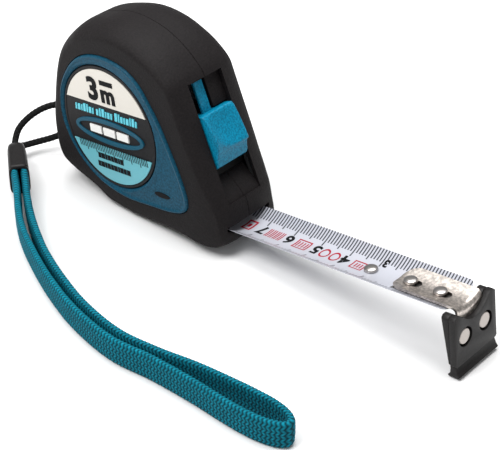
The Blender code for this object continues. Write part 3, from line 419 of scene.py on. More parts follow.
def prism(name, outline, y_start, y_end):
    return loft(name, [[(x, y, z) for x, z in outline] for y in (y_start, y_end)])


def bar(name, radius, start, end, sides=48, top=None):
    """Round bar between two points, which may taper to top."""
    start, end = Vector(start), Vector(end)
    shape = bmesh.new()
    bmesh.ops.create_cone(shape, cap_ends=True, segments=sides, radius1=radius,
                          radius2=radius if top is None else top, depth=(end - start).length)
    turn = (end - start).to_track_quat("Z", "Y").to_matrix()
    bmesh.ops.rotate(shape, cent=(0, 0, 0), matrix=turn, verts=shape.verts)
    bmesh.ops.translate(shape, vec=(start + end) / 2, verts=shape.verts)
    return from_bmesh(name, shape)


def spun(name, profile, centre, axis, sides=64):
    """Solid of revolution from (radius, height) points about axis through centre."""
    turn = Vector(axis).to_track_quat("Z", "Y").to_matrix()
    rings = []
    for radius, height in profile:
        reach = max(radius, 0.002)
        ring = [Vector((reach * cos(2 * pi * i / sides), reach * sin(2 * pi * i / sides), height))
                for i in range(sides)]
        rings.append([Vector(centre) + turn @ p for p in ring])
    return loft(name, rings)


def cut(obj, *cutters, operation="DIFFERENCE"):
    """Cut, join or trim obj and remove the cutters."""
    for cutter in cutters:
        modifier = obj.modifiers.new("cut", "BOOLEAN")
        modifier.operation = operation
        modifier.solver = "EXACT"
        modifier.object = cutter
        bake(obj)
        bpy.data.objects.remove(cutter)
    return obj


def bake(obj):
    """Turn obj's modifiers into plain mesh."""
    bpy.context.view_layer.update()
    graph = bpy.context.evaluated_depsgraph_get()
    mesh = bpy.data.meshes.new_from_object(obj.evaluated_get(graph), depsgraph=graph)
    obj.modifiers.clear()
    obj.data = mesh
    return obj


def soften(obj, width, angle=40, segments=3):
    """Round the sharp edges of obj."""
    bevel = obj.modifiers.new("round", "BEVEL")
    bevel.width = width
    bevel.segments = segments
    bevel.limit_method = "ANGLE"
    bevel.angle_limit = radians(angle)
    bevel.use_clamp_overlap = True
    bevel.harden_normals = False
    return bake(obj)


def join(target, *others):
    """Gather other objects' meshes, with their materials, into target."""
    shape = bmesh.new()
    slots = []
    for obj in (target, *others):
        mesh = obj.data
        offset = []
        for finish in mesh.materials:
            if finish not in slots:
                slots.append(finish)
            offset.append(slots.index(finish))
        first = len(shape.faces)
        shape.from_mesh(mesh)
        shape.faces.ensure_lookup_table()
        for face in shape.faces[first:]:
            face.material_index = offset[face.material_index] if offset else 0
    mesh = bpy.data.meshes.new(target.name)
    shape.to_mesh(mesh)
    shape.free()
    for finish in slots:
        mesh.materials.append(finish)
    target.data = mesh
    for obj in others:
        bpy.data.objects.remove(obj)
    return target


def painted(obj, finish):
    obj.data.materials.clear()
    obj.data.materials.append(finish)
    return obj


def settle(obj, matrix=CASE, angle=32):
    """Put the mesh in its place in the row frame and smooth it."""
    obj.data.transform(matrix)
    obj.data.shade_smooth()
    obj.data.set_sharp_from_angle(angle=radians(angle))
    obj.data.update()
    return obj


def deliver(obj, body, slot, *nodes, matrix=CASE, angle=32):
    """Settle a finished piece, hang it on its body and hide the nodes that it stands for."""
    settle(obj, matrix, angle)
    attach(obj, body)
    if nodes:
        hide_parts(*nodes)
    return obj


def smooth_loop(points, straight_after=(), steps=8):
    """Closed curve through the points, straight after the ones named."""
    places = [Vector(p) for p in points]
    count = len(places)
    loop = []
    for i, start in enumerate(places):
        end = places[(i + 1) % count]
        if i in straight_after:
            loop += [start.lerp(end, k / 4) for k in range(4)]
            continue
        before, after = places[i - 1], places[(i + 2) % count]
        reach = (end - start).length / 3
        leave = (end - before).normalized() * reach
        arrive = (after - start).normalized() * reach
        if (i - 1) % count in straight_after:
            leave = (start - before).normalized() * reach
        if (i + 1) % count in straight_after:
            arrive = (after - end).normalized() * reach
        knots = interpolate_bezier(start.to_3d(), (start + leave).to_3d(), (end - arrive).to_3d(),
                                   end.to_3d(), steps + 1)
        loop += [knot.to_2d() for knot in knots[:-1]]
    return loop


def inset(outline, depth):
    """Move an anticlockwise outline inwards along its own normals."""
    count = len(outline)
    moved = []
    for i, p in enumerate(outline):
        run = (outline[(i + 1) % count] - outline[i - 1]).normalized()
        moved.append(p + Vector((-run.y, run.x)) * depth)
    return moved


def ellipse(radii, sides=128, start=0.0, end=2 * pi):
    """Points round the label's centre; a full turn leaves out its last point."""
    full = abs(end - start - 2 * pi) < 1e-6
    steps = [start + (end - start) * i / (sides if full else sides - 1) for i in range(sides)]
    return [Vector((DISC_CENTRE.x + radii[0] * cos(a), DISC_CENTRE.y + radii[1] * sin(a))) for a in steps]


def corners(left, low, right, high):
    """Rectangle's corners, anticlockwise."""
    return [(left, low), (right, low), (right, high), (left, high)]


def figure_mesh(text, size, bold, depth, resolution):
    """Mesh of built-in figures, from their curves."""
    data = bpy.data.curves.new("figure", "FONT")
    data.body = text
    data.size = size
    data.offset = bold
    data.extrude = depth / 2
    data.resolution_u = resolution
    obj = link("figure", data)
    bpy.context.view_layer.update()
    mesh = bpy.data.meshes.new_from_object(obj.evaluated_get(bpy.context.evaluated_depsgraph_get()))
    bpy.data.objects.remove(obj)
    return mesh


def slope_point(down, out, y=0.0):
    """Place down the front slope from the slot's top, out of the slope and across the case."""
    return SLOT_TOP + SLOPE_DOWN * down + SLOPE_OUT * out + Vector((0, y, 0))


def camber(y, depth=BLADE_CAMBER):
    """Rise of the hollow blade at y above its lowest line."""
    return depth * (2 * y / BLADE_WIDTH) ** 2


# ---------------------------------------------------------------- case
OUTLINE = smooth_loop(CASE_OUTLINE, STRAIGHT_AFTER)
PANEL = smooth_loop(PANEL_OUTLINE)[::-1]
NOSE_TIP = max(p.x for p in OUTLINE)


def crowned_outline(wall, share):
    """Case outline, wall inside its surface and drawn in by a share of the crown."""
    outline = []
    for p in OUTLINE:
        low = LOW_CROWN + (1 - LOW_CROWN) * min(1.0, max(0.0, p.y / 18.0))
        front = 1 - FRONT_CROWN_LOSS * min(1.0, max(0.0, (p.x - 14.0) / 10.0))
        outline.append(p + (CASE_CENTRE - p).normalized() * (wall + share * CROWN_DEPTH * low * front))
    return outline


def tapered(x, y):
    share = max(0.0, (x - NOSE_TAPER_START) / (NOSE_TIP - NOSE_TAPER_START))
    return y * (1 - NOSE_TAPER * share * share)


def crowned_half(name, side, wall, half_width, y_inner):
    """Half of the case, wall inside its outer surface."""
    rings = [[(p.x, side * y_inner, p.y) for p in crowned_outline(wall + 0.12, 0)],
             [(p.x, side * (y_inner + 0.12), p.y) for p in crowned_outline(wall, 0)]]
    for angle in (8, 17, 26, 35, 44, 52, 60, 67, 73, 79, 85, 90):
        y = CROWN_START + (half_width - CROWN_START) * sin(radians(angle))
        outline = crowned_outline(wall, 1 - cos(radians(angle)))
        rings.append([(p.x, side * tapered(p.x, y), p.y) for p in outline])
    last = crowned_outline(wall, 1)
    for share in (0.9, 0.8, 0.7):
        flat = [CASE_CENTRE + (p - CASE_CENTRE) * share for p in last]
        rings.append([(p.x, side * tapered(p.x, half_width), p.y) for p in flat])
    return loft(name, rings)


def ramp_points(depth):
    """(down, out) points of the hollow ramp, from the slot's lower edge inwards."""
    shares = (0.08, 0.18, 0.3, 0.42, 0.55, 0.68, 0.8, 0.9, 1.0)
    return [(SLOT_LENGTH - RAMP_LENGTH * share, -0.15 - RAMP_DEPTH * depth * share ** 1.4)
            for share in shares]


def slot_block():
    """Cutter for the lock's slot, with the hollow ramp at its lower end."""
    profile = [(0, 7), (SLOT_LENGTH, 7), (SLOT_LENGTH, -0.15)] + ramp_points(1.0)
    profile += [(SLOT_LENGTH - RAMP_LENGTH, -7), (0, -7)]
    outline = [slope_point(down, out) for down, out in profile]
    return prism("slot", [(p.x, p.z) for p in outline], -SLOT_HALF_WIDTH, SLOT_HALF_WIDTH)


def mouth_block():
    """Cutter for the blade's mouth: hollowed below like the blade."""
    upper, lower = [], []
    for i in range(13):
        y = 8.8 * (i / 6 - 1)
        lower.append((y, BLADE_LOW + camber(y) - 0.75))
        upper.append((y, BLADE_EDGE + 1.0))
    outline = lower + upper[::-1]
    return loft("mouth", [[(x, y, z) for y, z in outline] for x in (20.0, NOSE_TIP + 2)])


def build_grip(side, label):
    """Soft grip half, open for the panel, the slot, the mouth, the strap and the rivets' way in."""
    grip = crowned_half(f"Grip_{label}", side, 0.0, HALF_WIDTH, 0.06)
    core = crowned_half("core", side, GRIP_WALL, HALF_WIDTH - GRIP_WALL, -1.0)
    window = prism("window", inset(PANEL, -0.25), side * 11.0, side * 16.0)
    holes = [bar("hole", 1.6, (-40, 0, z), (-26, 0, z)) for z in STRAP_HOLES]
    if side > 0:
        holes += [bar("counterbore", 2.0, (x, 8.0, z), (x, 16, z)) for x, z in SCREW_PLACES]
    channel = loft("channel", [[(x, y, z) for y, z in corners(-3.6, 0.15, 3.6, 3.0)] for x in (-5.0, 31.0)])
    cut(grip, core, window, slot_block(), mouth_block(), channel, *holes)
    return painted(grip, rubber())


def build_ramp(side, label):
    """Hollow ramp that closes the slot's lower end, split at the middle like the grip."""
    surface = [(down, out - 0.02) for down, out in ramp_points(1.0)]
    profile = [(SLOT_LENGTH + 0.4, -0.17)] + surface
    profile += [(down, out - 0.8) for down, out in surface[::-1]] + [(SLOT_LENGTH + 0.4, -1.2)]
    outline = [slope_point(down, out) for down, out in profile]
    ramp = prism(f"Ramp_{label}", [(p.x, p.z) for p in outline], side * 0.06, side * (SLOT_HALF_WIDTH + 0.3))
    return painted(ramp, rubber())


def build_shelf():
    """Shallow floor of the slot beside the lock's tongue, in the right half."""
    section = [(1.1, -2.4), (1.1, -1.5), (SLOT_HALF_WIDTH + 0.3, -1.5), (SLOT_HALF_WIDTH + 0.3, -2.4)]
    rings = [[slope_point(down, out, y) for y, out in section] for down in (-0.4, THUMB_START - 0.5)]
    return painted(loft("Shelf", rings), rubber())


def build_panel(side, label):
    """Raised panel with a rolled rim and a rolled edge round its disc."""
    profile = [(0.0, 11.65), (0.0, 12.9), (0.06, 13.2), (0.2, 13.45), (0.42, 13.58), (0.62, 13.6),
               (0.82, 13.56), (1.05, 13.44), (1.3, 13.36), (1.6, 13.34)]
    rings = [[(p.x, side * y, p.y) for p in inset(PANEL, depth)] for depth, y in profile]
    panel = loft(f"Panel_{label}", rings)
    rim = [(1.2, 14.2), (0.75, 13.33), (0.45, 13.22), (0.2, 13.0), (0.05, 12.75), (0.0, 12.45), (0.0, 11.0)]
    hole = loft("disc_hole", [[(p.x, side * y, p.y) for p in ellipse([r + grow for r in DISC_RADII])]
                              for grow, y in rim])
    cut(panel, hole)
    return painted(panel, panel_blue())


def raised(name, outline, low, high, finish, side=-1, bevel=0.06):
    """Flat raised shape on the label, of (x, z) points, with a slightly rounded rim."""
    loop = [Vector(p) for p in outline]
    area = sum(a.x * b.y - b.x * a.y for a, b in zip(loop, loop[1:] + loop[:1]))
    if area < 0:
        loop.reverse()
    rings = [[(p.x, side * low, p.y) for p in loop], [(p.x, side * (high - bevel), p.y) for p in loop]]
    if bevel:
        rings.append([(p.x, side * high, p.y) for p in inset(loop, bevel)])
    return painted(loft(name, rings), finish)


def segment(radii, height, upper):
    """Part of the label's ellipse above or below a level chord."""
    turn = asin((height - DISC_CENTRE.y) / radii[1])
    if upper:
        return ellipse(radii, 72, turn, pi - turn)
    return ellipse(radii, 72, pi - turn, 2 * pi + turn)


def lettering(text, size, x, z, depth, finish, side, bold):
    """Raised figures on the label, whose lower left corner is at (x, z)."""
    mesh = figure_mesh(text, size, bold, 0.22, 6)
    low = min(v.co.x for v in mesh.vertices)
    for v in mesh.vertices:
        across = x + v.co.x - low
        v.co = Vector((across if side < 0 else 2 * DISC_CENTRE.x - across, side * depth - v.co.z, z + v.co.y))
    shape = bmesh.new()
    shape.from_mesh(mesh)
    bmesh.ops.remove_doubles(shape, verts=shape.verts, dist=0.0005)
    return painted(from_bmesh("figure", shape), finish)


def oval_rim(centre, radii, width, low, high, finish, side):
    """Plain raised oval ring on the label."""
    edge = 0.1
    rings = []
    for i in range(RIM_SIDES):
        turn = 2 * pi * i / RIM_SIDES
        section = ((0.0, low), (0.0, high - edge), (edge, high), (width - edge, high), (width, high - edge),
                   (width, low))
        rings.append([(centre.x + (radii[0] - inward) * cos(turn), side * y,
                       centre.y + (radii[1] - inward) * sin(turn)) for inward, y in section])
    return painted(loft("rim", rings, closed=True), finish)


def build_label(side, label):
    """Black disc with its upper and lower segments, oval, ruled edge and plain blocks."""
    s = settings()
    c = DISC_CENTRE
    mirror = 1 if side < 0 else -1
    black = label_black()
    cream = material("Label Cream", s.cream_colour, 0.45)
    teal = material("Label Teal", s.teal_colour, 0.42)
    bright = material("Label Cyan", (0.10, 0.55, 0.66), 0.42)
    white = material("Label White", (0.80, 0.79, 0.76), 0.42)
    blue = material("Label Blue", (0.0055, 0.0750, 0.1250), 0.4, specular=0.2)

    def at(points):
        return [Vector((c.x + mirror * u, c.y + v)) for u, v in points]

    disc_radii = [r - 0.25 for r in DISC_RADII]
    rings = []
    for shrink, y in ((0.0, 11.7), (0.0, DISC_FACE - 0.15), (0.15, DISC_FACE), (0.7, DISC_FACE),
                      (0.9, DISC_FACE - 0.18)):
        rings.append([(p.x, side * y, p.y) for p in ellipse([r - shrink for r in disc_radii])])
    disc = painted(loft(f"Label_{label}", rings), black)
    face = DISC_FACE - 0.2
    pieces = [raised("upper", segment(SEGMENT_RADII, c.y + 6.7, True), face, face + 0.3, cream, side),
              raised("lower", segment(SEGMENT_RADII, c.y - 7.0, False), face, face + 0.3, teal, side)]
    for text, size, start, bold in (("3", 9.6, -6.3, 0.34), ("m", 7.6, -0.9, 0.32)):
        pieces.append(lettering(text, size, c.x + start, c.y + 8.3, face + 0.35, ink(), side, bold))
    pieces.append(raised("bar", at(corners(-0.8, 13.5, 4.6, 15.0)), face + 0.2, face + 0.42, ink(), side))
    x = -13.4
    for i in range(21):
        width = (0.65, 0.95, 0.55, 1.05)[(i * 7) % 4]
        tall = (1.9, 1.9, 2.5, 1.9, 2.5)[(i * 3) % 5]
        if i in (7, 13):
            x += 0.7
        lean = 0.12 * tall
        pieces.append(raised("dash", at([(x, 3.0), (x + width, 3.0), (x + width + lean, 3.0 + tall),
                                         (x + lean, 3.0 + tall)]), face, face + 0.3, bright, side))
        x += width + 0.38
    pieces.append(oval_rim(Vector((c.x, c.y - 1.7)), (14.2, 3.9), 1.4, face, face + 0.5, blue, side))
    for start in (-8.0, -2.4, 3.2):
        pieces.append(raised("block", at(corners(start, -2.9, start + 4.8, -0.5)), face, face + 0.5,
                             white, side, bevel=0.12))
    for i in range(-19, 20):
        u = i * 0.74
        foot = -9.7 if i % 5 == 0 else -8.9
        pieces.append(raised("tick", at([(u + 0.25, foot), (u + 0.55, foot), (u + 0.3, -6.8), (u, -6.8)]),
                             face + 0.2, face + 0.36, black, side, bevel=0))
    for low, start, end in ((-11.2, -6.6, 3.4), (-14.1, -7.2, 5.6)):
        u = start
        k = 0
        while u < end:
            width = (1.1, 1.5, 0.8, 1.3)[k % 4]
            pieces.append(raised("bar", at(corners(u, low, u + width, low + 1.75)), face + 0.2, face + 0.42,
                                 ink(), side))
            u += width + 0.18
            k += 1
    return join(disc, *pieces)


def smooth_path(points, steps):
    """Open curve through the points."""
    places = [Vector(p) for p in points]
    path = []
    for i in range(len(places) - 1):
        before, after = places[max(0, i - 1)], places[min(len(places) - 1, i + 2)]
        start, end = places[i], places[i + 1]
        reach = (end - start).length / 3
        leave = start + (end - before).normalized() * reach
        arrive = end - (after - start).normalized() * reach
        path += list(interpolate_bezier(start, leave, arrive, end, steps + 1))[:-1]
    return path + [places[-1]]


def build_screw(name, x, z):
    """Countersunk-look head with a cross recess, and its shank."""
    profile = [(1.0, -15.0), (1.0, 0.0), (1.7, 0.0), (1.7, 0.85), (1.55, 1.08), (1.1, 1.2), (0.0, 1.22)]
    head = spun(f"Screw_{name}", profile, (x, 8.25, z), (0, 1, 0), sides=40)
    for turn in (0.35, 0.35 + pi / 2):
        shape = bmesh.new()
        bmesh.ops.create_cube(shape, size=1.0)
        bmesh.ops.scale(shape, vec=(2.0, 1.4, 0.42), verts=shape.verts)
        bmesh.ops.rotate(shape, cent=(0, 0, 0), matrix=Matrix.Rotation(turn, 3, "Y"), verts=shape.verts)
        bmesh.ops.translate(shape, vec=(x, 9.5, z), verts=shape.verts)
        cut(head, from_bmesh("recess", shape))
    return painted(head, nickel())


# ---------------------------------------------------------------- lock
def thumb_profile(y):
    """(down, out) points of the thumb piece at y: scooped face, crease, rounded lip and lower face."""
    share = y / THUMB_HALF
    back = (THUMB_HALF - y) / (2 * THUMB_HALF)
    crease = THUMB_START + 10.7 - 5.9 * back ** 3
    rise = 2.45 + 0.55 * share * share
    lip_down, lip_out = THUMB_START + 11.6, 1.95
    power = 1.0 - 0.42 * share * share
    points = [(THUMB_START, 0.45), (THUMB_START + 0.2, 0.85)]
    for k in range(1, 13):
        t = k / 12
        dish = 0.42 * sin(pi * t) * (1 - share * share)
        points.append((THUMB_START + 0.2 + (crease - THUMB_START - 0.2) * t,
                       0.85 + (rise - 0.85) * t ** power - dish))
    bulge = 0.22 + 0.75 * back ** 2
    for k in range(1, 7):
        t = k / 6
        points.append((crease + (lip_down - crease) * t, rise + (lip_out - rise) * t + bulge * sin(pi * t)))
    for k in range(1, 5):
        t = k / 4
        points.append((lip_down + 2.9 * t, lip_out - 1.15 * t - 0.12 * sin(pi * t)))
    points += [(THUMB_END - 0.3, 0.1), (THUMB_END, -0.9), (THUMB_END, -2.5), (21.6, -2.5), (21.6, -5.4),
               (THUMB_START, -5.4)]
    return points


def build_lock():
    """Thumb button with its tongue, on the plate that slides inside the case."""
    rings = []
    for i in range(37):
        y = THUMB_HALF * (i / 18 - 1)
        rings.append([slope_point(down, out, y) for down, out in thumb_profile(y)])
    thumb = loft("Lock_Button", rings)
    soften(thumb, 0.3, angle=38, segments=3)
    ridge = ((-3.2, -2.4), (-3.2, -1.75), (-3.0, -1.6), (-2.7, -1.75), (-0.3, -1.75), (0.0, -1.6),
             (0.2, -1.75), (0.2, -2.4))
    tongue = loft("tongue", [[slope_point(down, out, y) for y, out in ridge]
                             for down in (0.7, THUMB_START + 0.6)])
    section = ((-7.4, -5.8), (-7.4, -4.4), (7.4, -4.4), (7.4, -5.8))
    plate = loft("plate", [[slope_point(down, out, y) for y, out in section] for down in (7.0, 34.2)])
    finish = lock_blue()
    painted(thumb, finish)
    painted(tongue, finish)
    painted(plate, shell_black())
    return join(thumb, tongue, plate)


# ---------------------------------------------------------------- blade and hook
def strip_section(x, depth, middle, half):
    """Closed section across the blade: hollow side, then underside."""
    low = middle - depth / 2
    upper, under = [], []
    for i in range(STRIP_STEPS + 1):
        y = half * (2 * i / STRIP_STEPS - 1)
        upper.append((x, y, low + camber(y, depth) + BLADE_THICKNESS))
        under.append((x, y, low + camber(y, depth)))
    return upper + under[::-1]


def build_blade():
    """Blade run: flat under the reel, hollow outside, with clipped corners at its end and painted shade on
    its face under the hook.
    """
    middle = BLADE_LOW + BLADE_CAMBER / 2
    half = (BLADE_WIDTH - 0.25 * BLADE_CAMBER) / 2
    rings = []
    for i in range(13):
        t = i / 12
        x = REEL_CENTRE.x + (LEVEL_X - REEL_CENTRE.x) * t
        level = BLADE_LEVEL + (middle - BLADE_LEVEL) * t
        rings.append(strip_section(x, BLADE_CAMBER * t ** 1.5 + 0.02, level, half))
    for i in range(1, 60):
        x = LEVEL_X + (BLADE_END - 1.6 - LEVEL_X) * i / 59
        rings.append(strip_section(x, BLADE_CAMBER, middle, half))
    for back, share in ((1.1, 0.985), (0.6, 0.95), (0.25, 0.90), (0.0, 0.82)):
        ring = strip_section(BLADE_END - back, BLADE_CAMBER, middle, half * share)
        rings.append([(x, y, BLADE_LOW + camber(y) + (BLADE_THICKNESS if k <= STRIP_STEPS else 0.0))
                      for k, (x, y, _) in enumerate(ring)])
    blade = loft("Blade_Run", rings)
    painted(blade, blade_print())
    blade.data.materials.append(material("Blade Back", settings().blade_colour, 0.34, metallic=0.15))
    # Faces of the hollow side under the hook plate get a dark colour: painted shade under the hook, not a
    # colour of the blade.
    blade.data.materials.append(material("Bare Steel", (0.10, 0.095, 0.09), 0.4, metallic=0.6))
    for face in blade.data.polygons:
        if face.normal.z < 0.2:
            face.material_index = 1
        elif face.center.x > HOOK_REAR + 1.2 and abs(face.center.y) < HOOK_HALF - 0.5:
            face.material_index = 2
    return blade


def flat_text(text, size, bold):
    """Flat mesh of built-in figures, centred on the origin, as a bmesh."""
    shape = bmesh.new()
    shape.from_mesh(figure_mesh(text, size, bold, 0.0, 5))
    across = [v.co.x for v in shape.verts]
    up = [v.co.y for v in shape.verts]
    middle = ((min(across) + max(across)) / 2, (min(up) + max(up)) / 2)
    bmesh.ops.translate(shape, vec=(-middle[0], -middle[1], 0), verts=shape.verts)
    return shape


def flat_polygons(polygons):
    """Flat mesh of (x, y) polygons as a bmesh."""
    shape = bmesh.new()
    for points in polygons:
        shape.faces.new([shape.verts.new((x, y, 0)) for x, y in points])
    return shape


def frame_polygons(width, height, line):
    """Four bars round a rectangle."""
    w, h = width / 2, height / 2
    return [corners(-w, -h, w, -h + line), corners(-w, h - line, w, h),
            corners(-w, -h + line, -w + line, h - line), corners(w - line, -h + line, w, h - line)]


def upright_bars(start, pitch, width, half_height, count):
    """Row of bars, centred up and down."""
    return [corners(start + pitch * k, -half_height, start + pitch * k + width, half_height)
            for k in range(count)]


def on_blade(name, shape, x, y, finish):
    """Lay a flat shape on the hollow face at (x, y), read from the blade's far side."""
    for k in range(-8, 9):
        geometry = shape.verts[:] + shape.edges[:] + shape.faces[:]
        bmesh.ops.bisect_plane(shape, geom=geometry, plane_co=(0, k * 0.5 - y, 0), plane_no=(0, 1, 0))
    for v in shape.verts:
        px, py = x - v.co.x, y - v.co.y
        v.co = (px, py, BLADE_LOW + camber(py) + BLADE_THICKNESS + 0.03)
    bmesh.ops.recalc_face_normals(shape, faces=shape.faces)
    for face in shape.faces:
        face.normal_update()
        if face.normal.z < 0:
            face.normal_flip()
    mesh = bpy.data.meshes.new(name)
    shape.to_mesh(mesh)
    shape.free()
    return painted(link(name, mesh), finish)


def arc_band(radius, width, start, end, steps):
    """Polygons of a band along an arc, as quads."""
    turns = [start + (end - start) * k / steps for k in range(steps + 1)]
    return [[(r * cos(a), r * sin(a)) for r, a in ((radius - width, low), (radius, low), (radius, high),
                                                   (radius - width, high))]
            for low, high in zip(turns, turns[1:])]


def build_prints():
    """(name, x, object) of each printed figure and mark on the blade."""
    s = settings()
    red = material("Red Ink", s.mark_colour, 0.5, specular=0.15)
    black = ink()
    prints = []

    def add(name, shape, x, y, finish):
        prints.append((name, x, on_blade(name, shape, x, y, finish)))

    for figure in (4, 5, 6, 7):
        add(f"Figure_{figure}", flat_text(str(figure), 5.4, 0.2), ZERO_X - figure * 10, 0.0, black)
    add("Figure_3", flat_text("3", 3.4, 0.16), ZERO_X - 28.7, 3.9, black)
    seal = frame_polygons(3.3, 4.7, 0.6) + [[(-0.6, -0.8), (0.5, -0.8), (0.7, 0.8), (-0.4, 0.8)]]
    bars = upright_bars(-2.9, 1.5, 0.36, 2.0, 4) + upright_bars(-2.24, 1.5, 0.36, 2.0, 4)
    box = frame_polygons(4.8, 4.4, 0.42) + upright_bars(-1.6, 0.95, 0.4, 1.3, 4)
    loops = [[(px * 0.7 + offset, py) for px, py in quad]
             for offset in (-1.75, 1.75) for quad in arc_band(2.2, 0.65, 0, 2 * pi, steps=14)]
    small = frame_polygons(4.2, 3.8, 0.4) + upright_bars(-1.2, 0.9, 0.4, 1.0, 3)
    for name, polygons, back, y in (("Seal", seal, 74.8, 0.2), ("Bars", bars, 65.2, -0.1),
                                    ("Box", box, 55.0, -0.1), ("Loops", loops, 45.1, -0.1),
                                    ("Frame", small, 35.2, -0.1)):
        add(f"Mark_{name}", flat_polygons(polygons), ZERO_X - back, y, red)
    return prints


def build_rivet(name, place, seat):
    """Low domed head over its short shank."""
    dome = [(1.4, -0.35), (1.5, -0.05), (1.8, 0.0), (1.92, 0.08), (1.92, 0.5), (1.8, 0.72), (1.4, 0.93),
            (0.7, 1.04), (0.0, 1.06)]
    head = spun(name, dome, (ZERO_X + place, 0, seat), (0, 0, 1), sides=56)
    foot = spun("foot", [(1.5, -0.2), (1.5, 0.0), (1.0, 0.0), (1.0, seat - BLADE_LOW + 0.2)],
                (ZERO_X + place, 0, BLADE_LOW - 0.1), (0, 0, 1), sides=40)
    return painted(join(head, foot), material("Rivet Steel", (0.42, 0.40, 0.385), 0.3, metallic=1.0))


def hook_ring(x, count=24):
    """Section of the hook's plate, hollow like the blade under it."""
    low = BLADE_LOW + BLADE_THICKNESS + GAP
    lower, upper = [], []
    for i in range(count + 1):
        y = HOOK_HALF * (2 * i / count - 1)
        lower.append(Vector((x, y, low + camber(y))))
        upper.append(Vector((x, y, low + camber(y) + HOOK_STEEL)))
    return lower + upper[::-1]


def build_hook():
    """Nickelled plate with two long holes, a rounded heel and its bent lip."""
    bend_x = ZERO_X - 0.6
    rings = [hook_ring(HOOK_REAR + (bend_x - HOOK_REAR) * k / 24) for k in range(25)]
    flat = rings[-1]
    count = len(flat) // 2
    for k in range(1, 13):
        angle = pi / 2 * k / 12
        ring = []
        for i, p in enumerate(flat):
            outer = i >= count
            top = p.z if outer else flat[len(flat) - 1 - i].z
            reach = 1.0 + (HOOK_STEEL if outer else 0.0)
            ring.append(Vector((p.x + reach * sin(angle), p.y, top - HOOK_STEEL - 1.0 + reach * cos(angle))))
        rings.append(ring)
    rings.append([Vector((p.x, p.y, -9.4)) for p in rings[-1]])
    hook = loft("End_Hook", rings)
    reach = HOOK_HALF + 0.4
    corner = 4.0
    back = HOOK_REAR + corner
    heel = []
    for cy, first in ((HOOK_HALF - corner, 90), (corner - HOOK_HALF, 180)):
        turns = [radians(first + a) for a in range(0, 91, 9)]
        heel += [(back + corner * cos(a), cy + corner * sin(a)) for a in turns]
    outline = [(back + 0.01, reach)] + heel
    outline += [(back + 0.01, -reach), (ZERO_X + 6, -reach), (ZERO_X + 6, reach)]
    trim = loft("trim", [[(x, y, z) for x, y in outline] for z in (-14.0, 9.0)])
    cut(hook, trim, operation="INTERSECT")
    for place in RIVETS:
        x = ZERO_X + place
        half_turn = [radians(a) for a in range(-90, 91, 10)]
        ends = [(x + 1.9 + 1.45 * cos(a), 1.45 * sin(a)) for a in half_turn]
        ends += [(x - 0.1 - 1.45 * cos(a), -1.45 * sin(a)) for a in half_turn]
        cut(hook, loft("slot", [[(px, py, z) for px, py in ends] for z in (-2.0, 6.0)]))
    soften(hook, 0.10, angle=45, segments=2)
    return painted(hook, nickel())


def holder_outline(drop=0.0):
    """(y, z) outline of the holder's front plate, with its hollow top."""
    top, low = HOLDER_TOP - drop, HOLDER_LOW
    points = [(-HOLDER_HALF, low + 0.5), (-HOLDER_HALF + 0.5, low), (HOLDER_HALF - 0.5, low),
              (HOLDER_HALF, low + 0.5), (HOLDER_HALF, top - 0.7), (HOLDER_HALF - 0.7, top), (6.9, top)]
    for i in range(1, 24):
        t = 1 - i / 12
        points.append((6.6 * t, top - 3.8 * (1 - t * t)))
    points += [(-6.9, top), (-HOLDER_HALF + 0.7, top), (-HOLDER_HALF, top - 0.7)]
    return points


def build_holder():
    """Two moulded plates round the hook's lip, magnet pockets and a flared foot."""
    outline = holder_outline()
    front = loft("Magnet_Holder", [[(x, y, z) for y, z in outline] for x in (ZERO_X + 0.9, HOLDER_FRONT)])
    for side in (-1, 1):
        cut(front, spun("pocket", [(3.15, 0.5), (2.8, 0.0), (2.8, -1.45)],
                        (HOLDER_FRONT - 0.02, side * MAGNET_SIDE, MAGNET_HEIGHT), (1, 0, 0), sides=48))
    soften(front, 0.28, angle=40, segments=3)
    top, low = HOLDER_TOP, HOLDER_LOW
    rear_outline = [(y * 0.985, z) for y, z in holder_outline(0.1)]
    rear_rings = []
    for x_top, x_low in ((ZERO_X - 1.6, ZERO_X + 0.2), (ZERO_X + 0.7, ZERO_X + 0.8)):
        ring = []
        for y, z in rear_outline:
            t = (top - z) / (top - low)
            ring.append((x_top + (x_low - x_top) * t, y, z))
        rear_rings.append(ring)
    rear = loft("rear_plate", rear_rings)
    soften(rear, 0.2, angle=40, segments=2)
    profile = [(0.5, low + 1.2), (0.55, low - 0.6), (0.35, FOOT_LOW + 1.2), (-0.45, FOOT_LOW + 0.35),
               (0.1, FOOT_LOW), (3.0, FOOT_LOW + 0.02), (3.4, FOOT_LOW + 0.5), (2.75, FOOT_LOW + 1.4),
               (2.2, low - 0.5), (2.15, low + 0.6)]
    profile = [(ZERO_X + ahead, z) for ahead, z in profile]
    foot = prism("foot", profile, -8.7, 8.7)
    soften(foot, 0.14, angle=35, segments=2)
    web = prism("web", corners(ZERO_X + 0.6, low + 0.3, ZERO_X + 1.2, low + 6), -7.8, 7.8)
    finish = holder_black()
    for piece in (front, rear, foot, web):
        painted(piece, finish)
    return join(front, rear, foot, web)


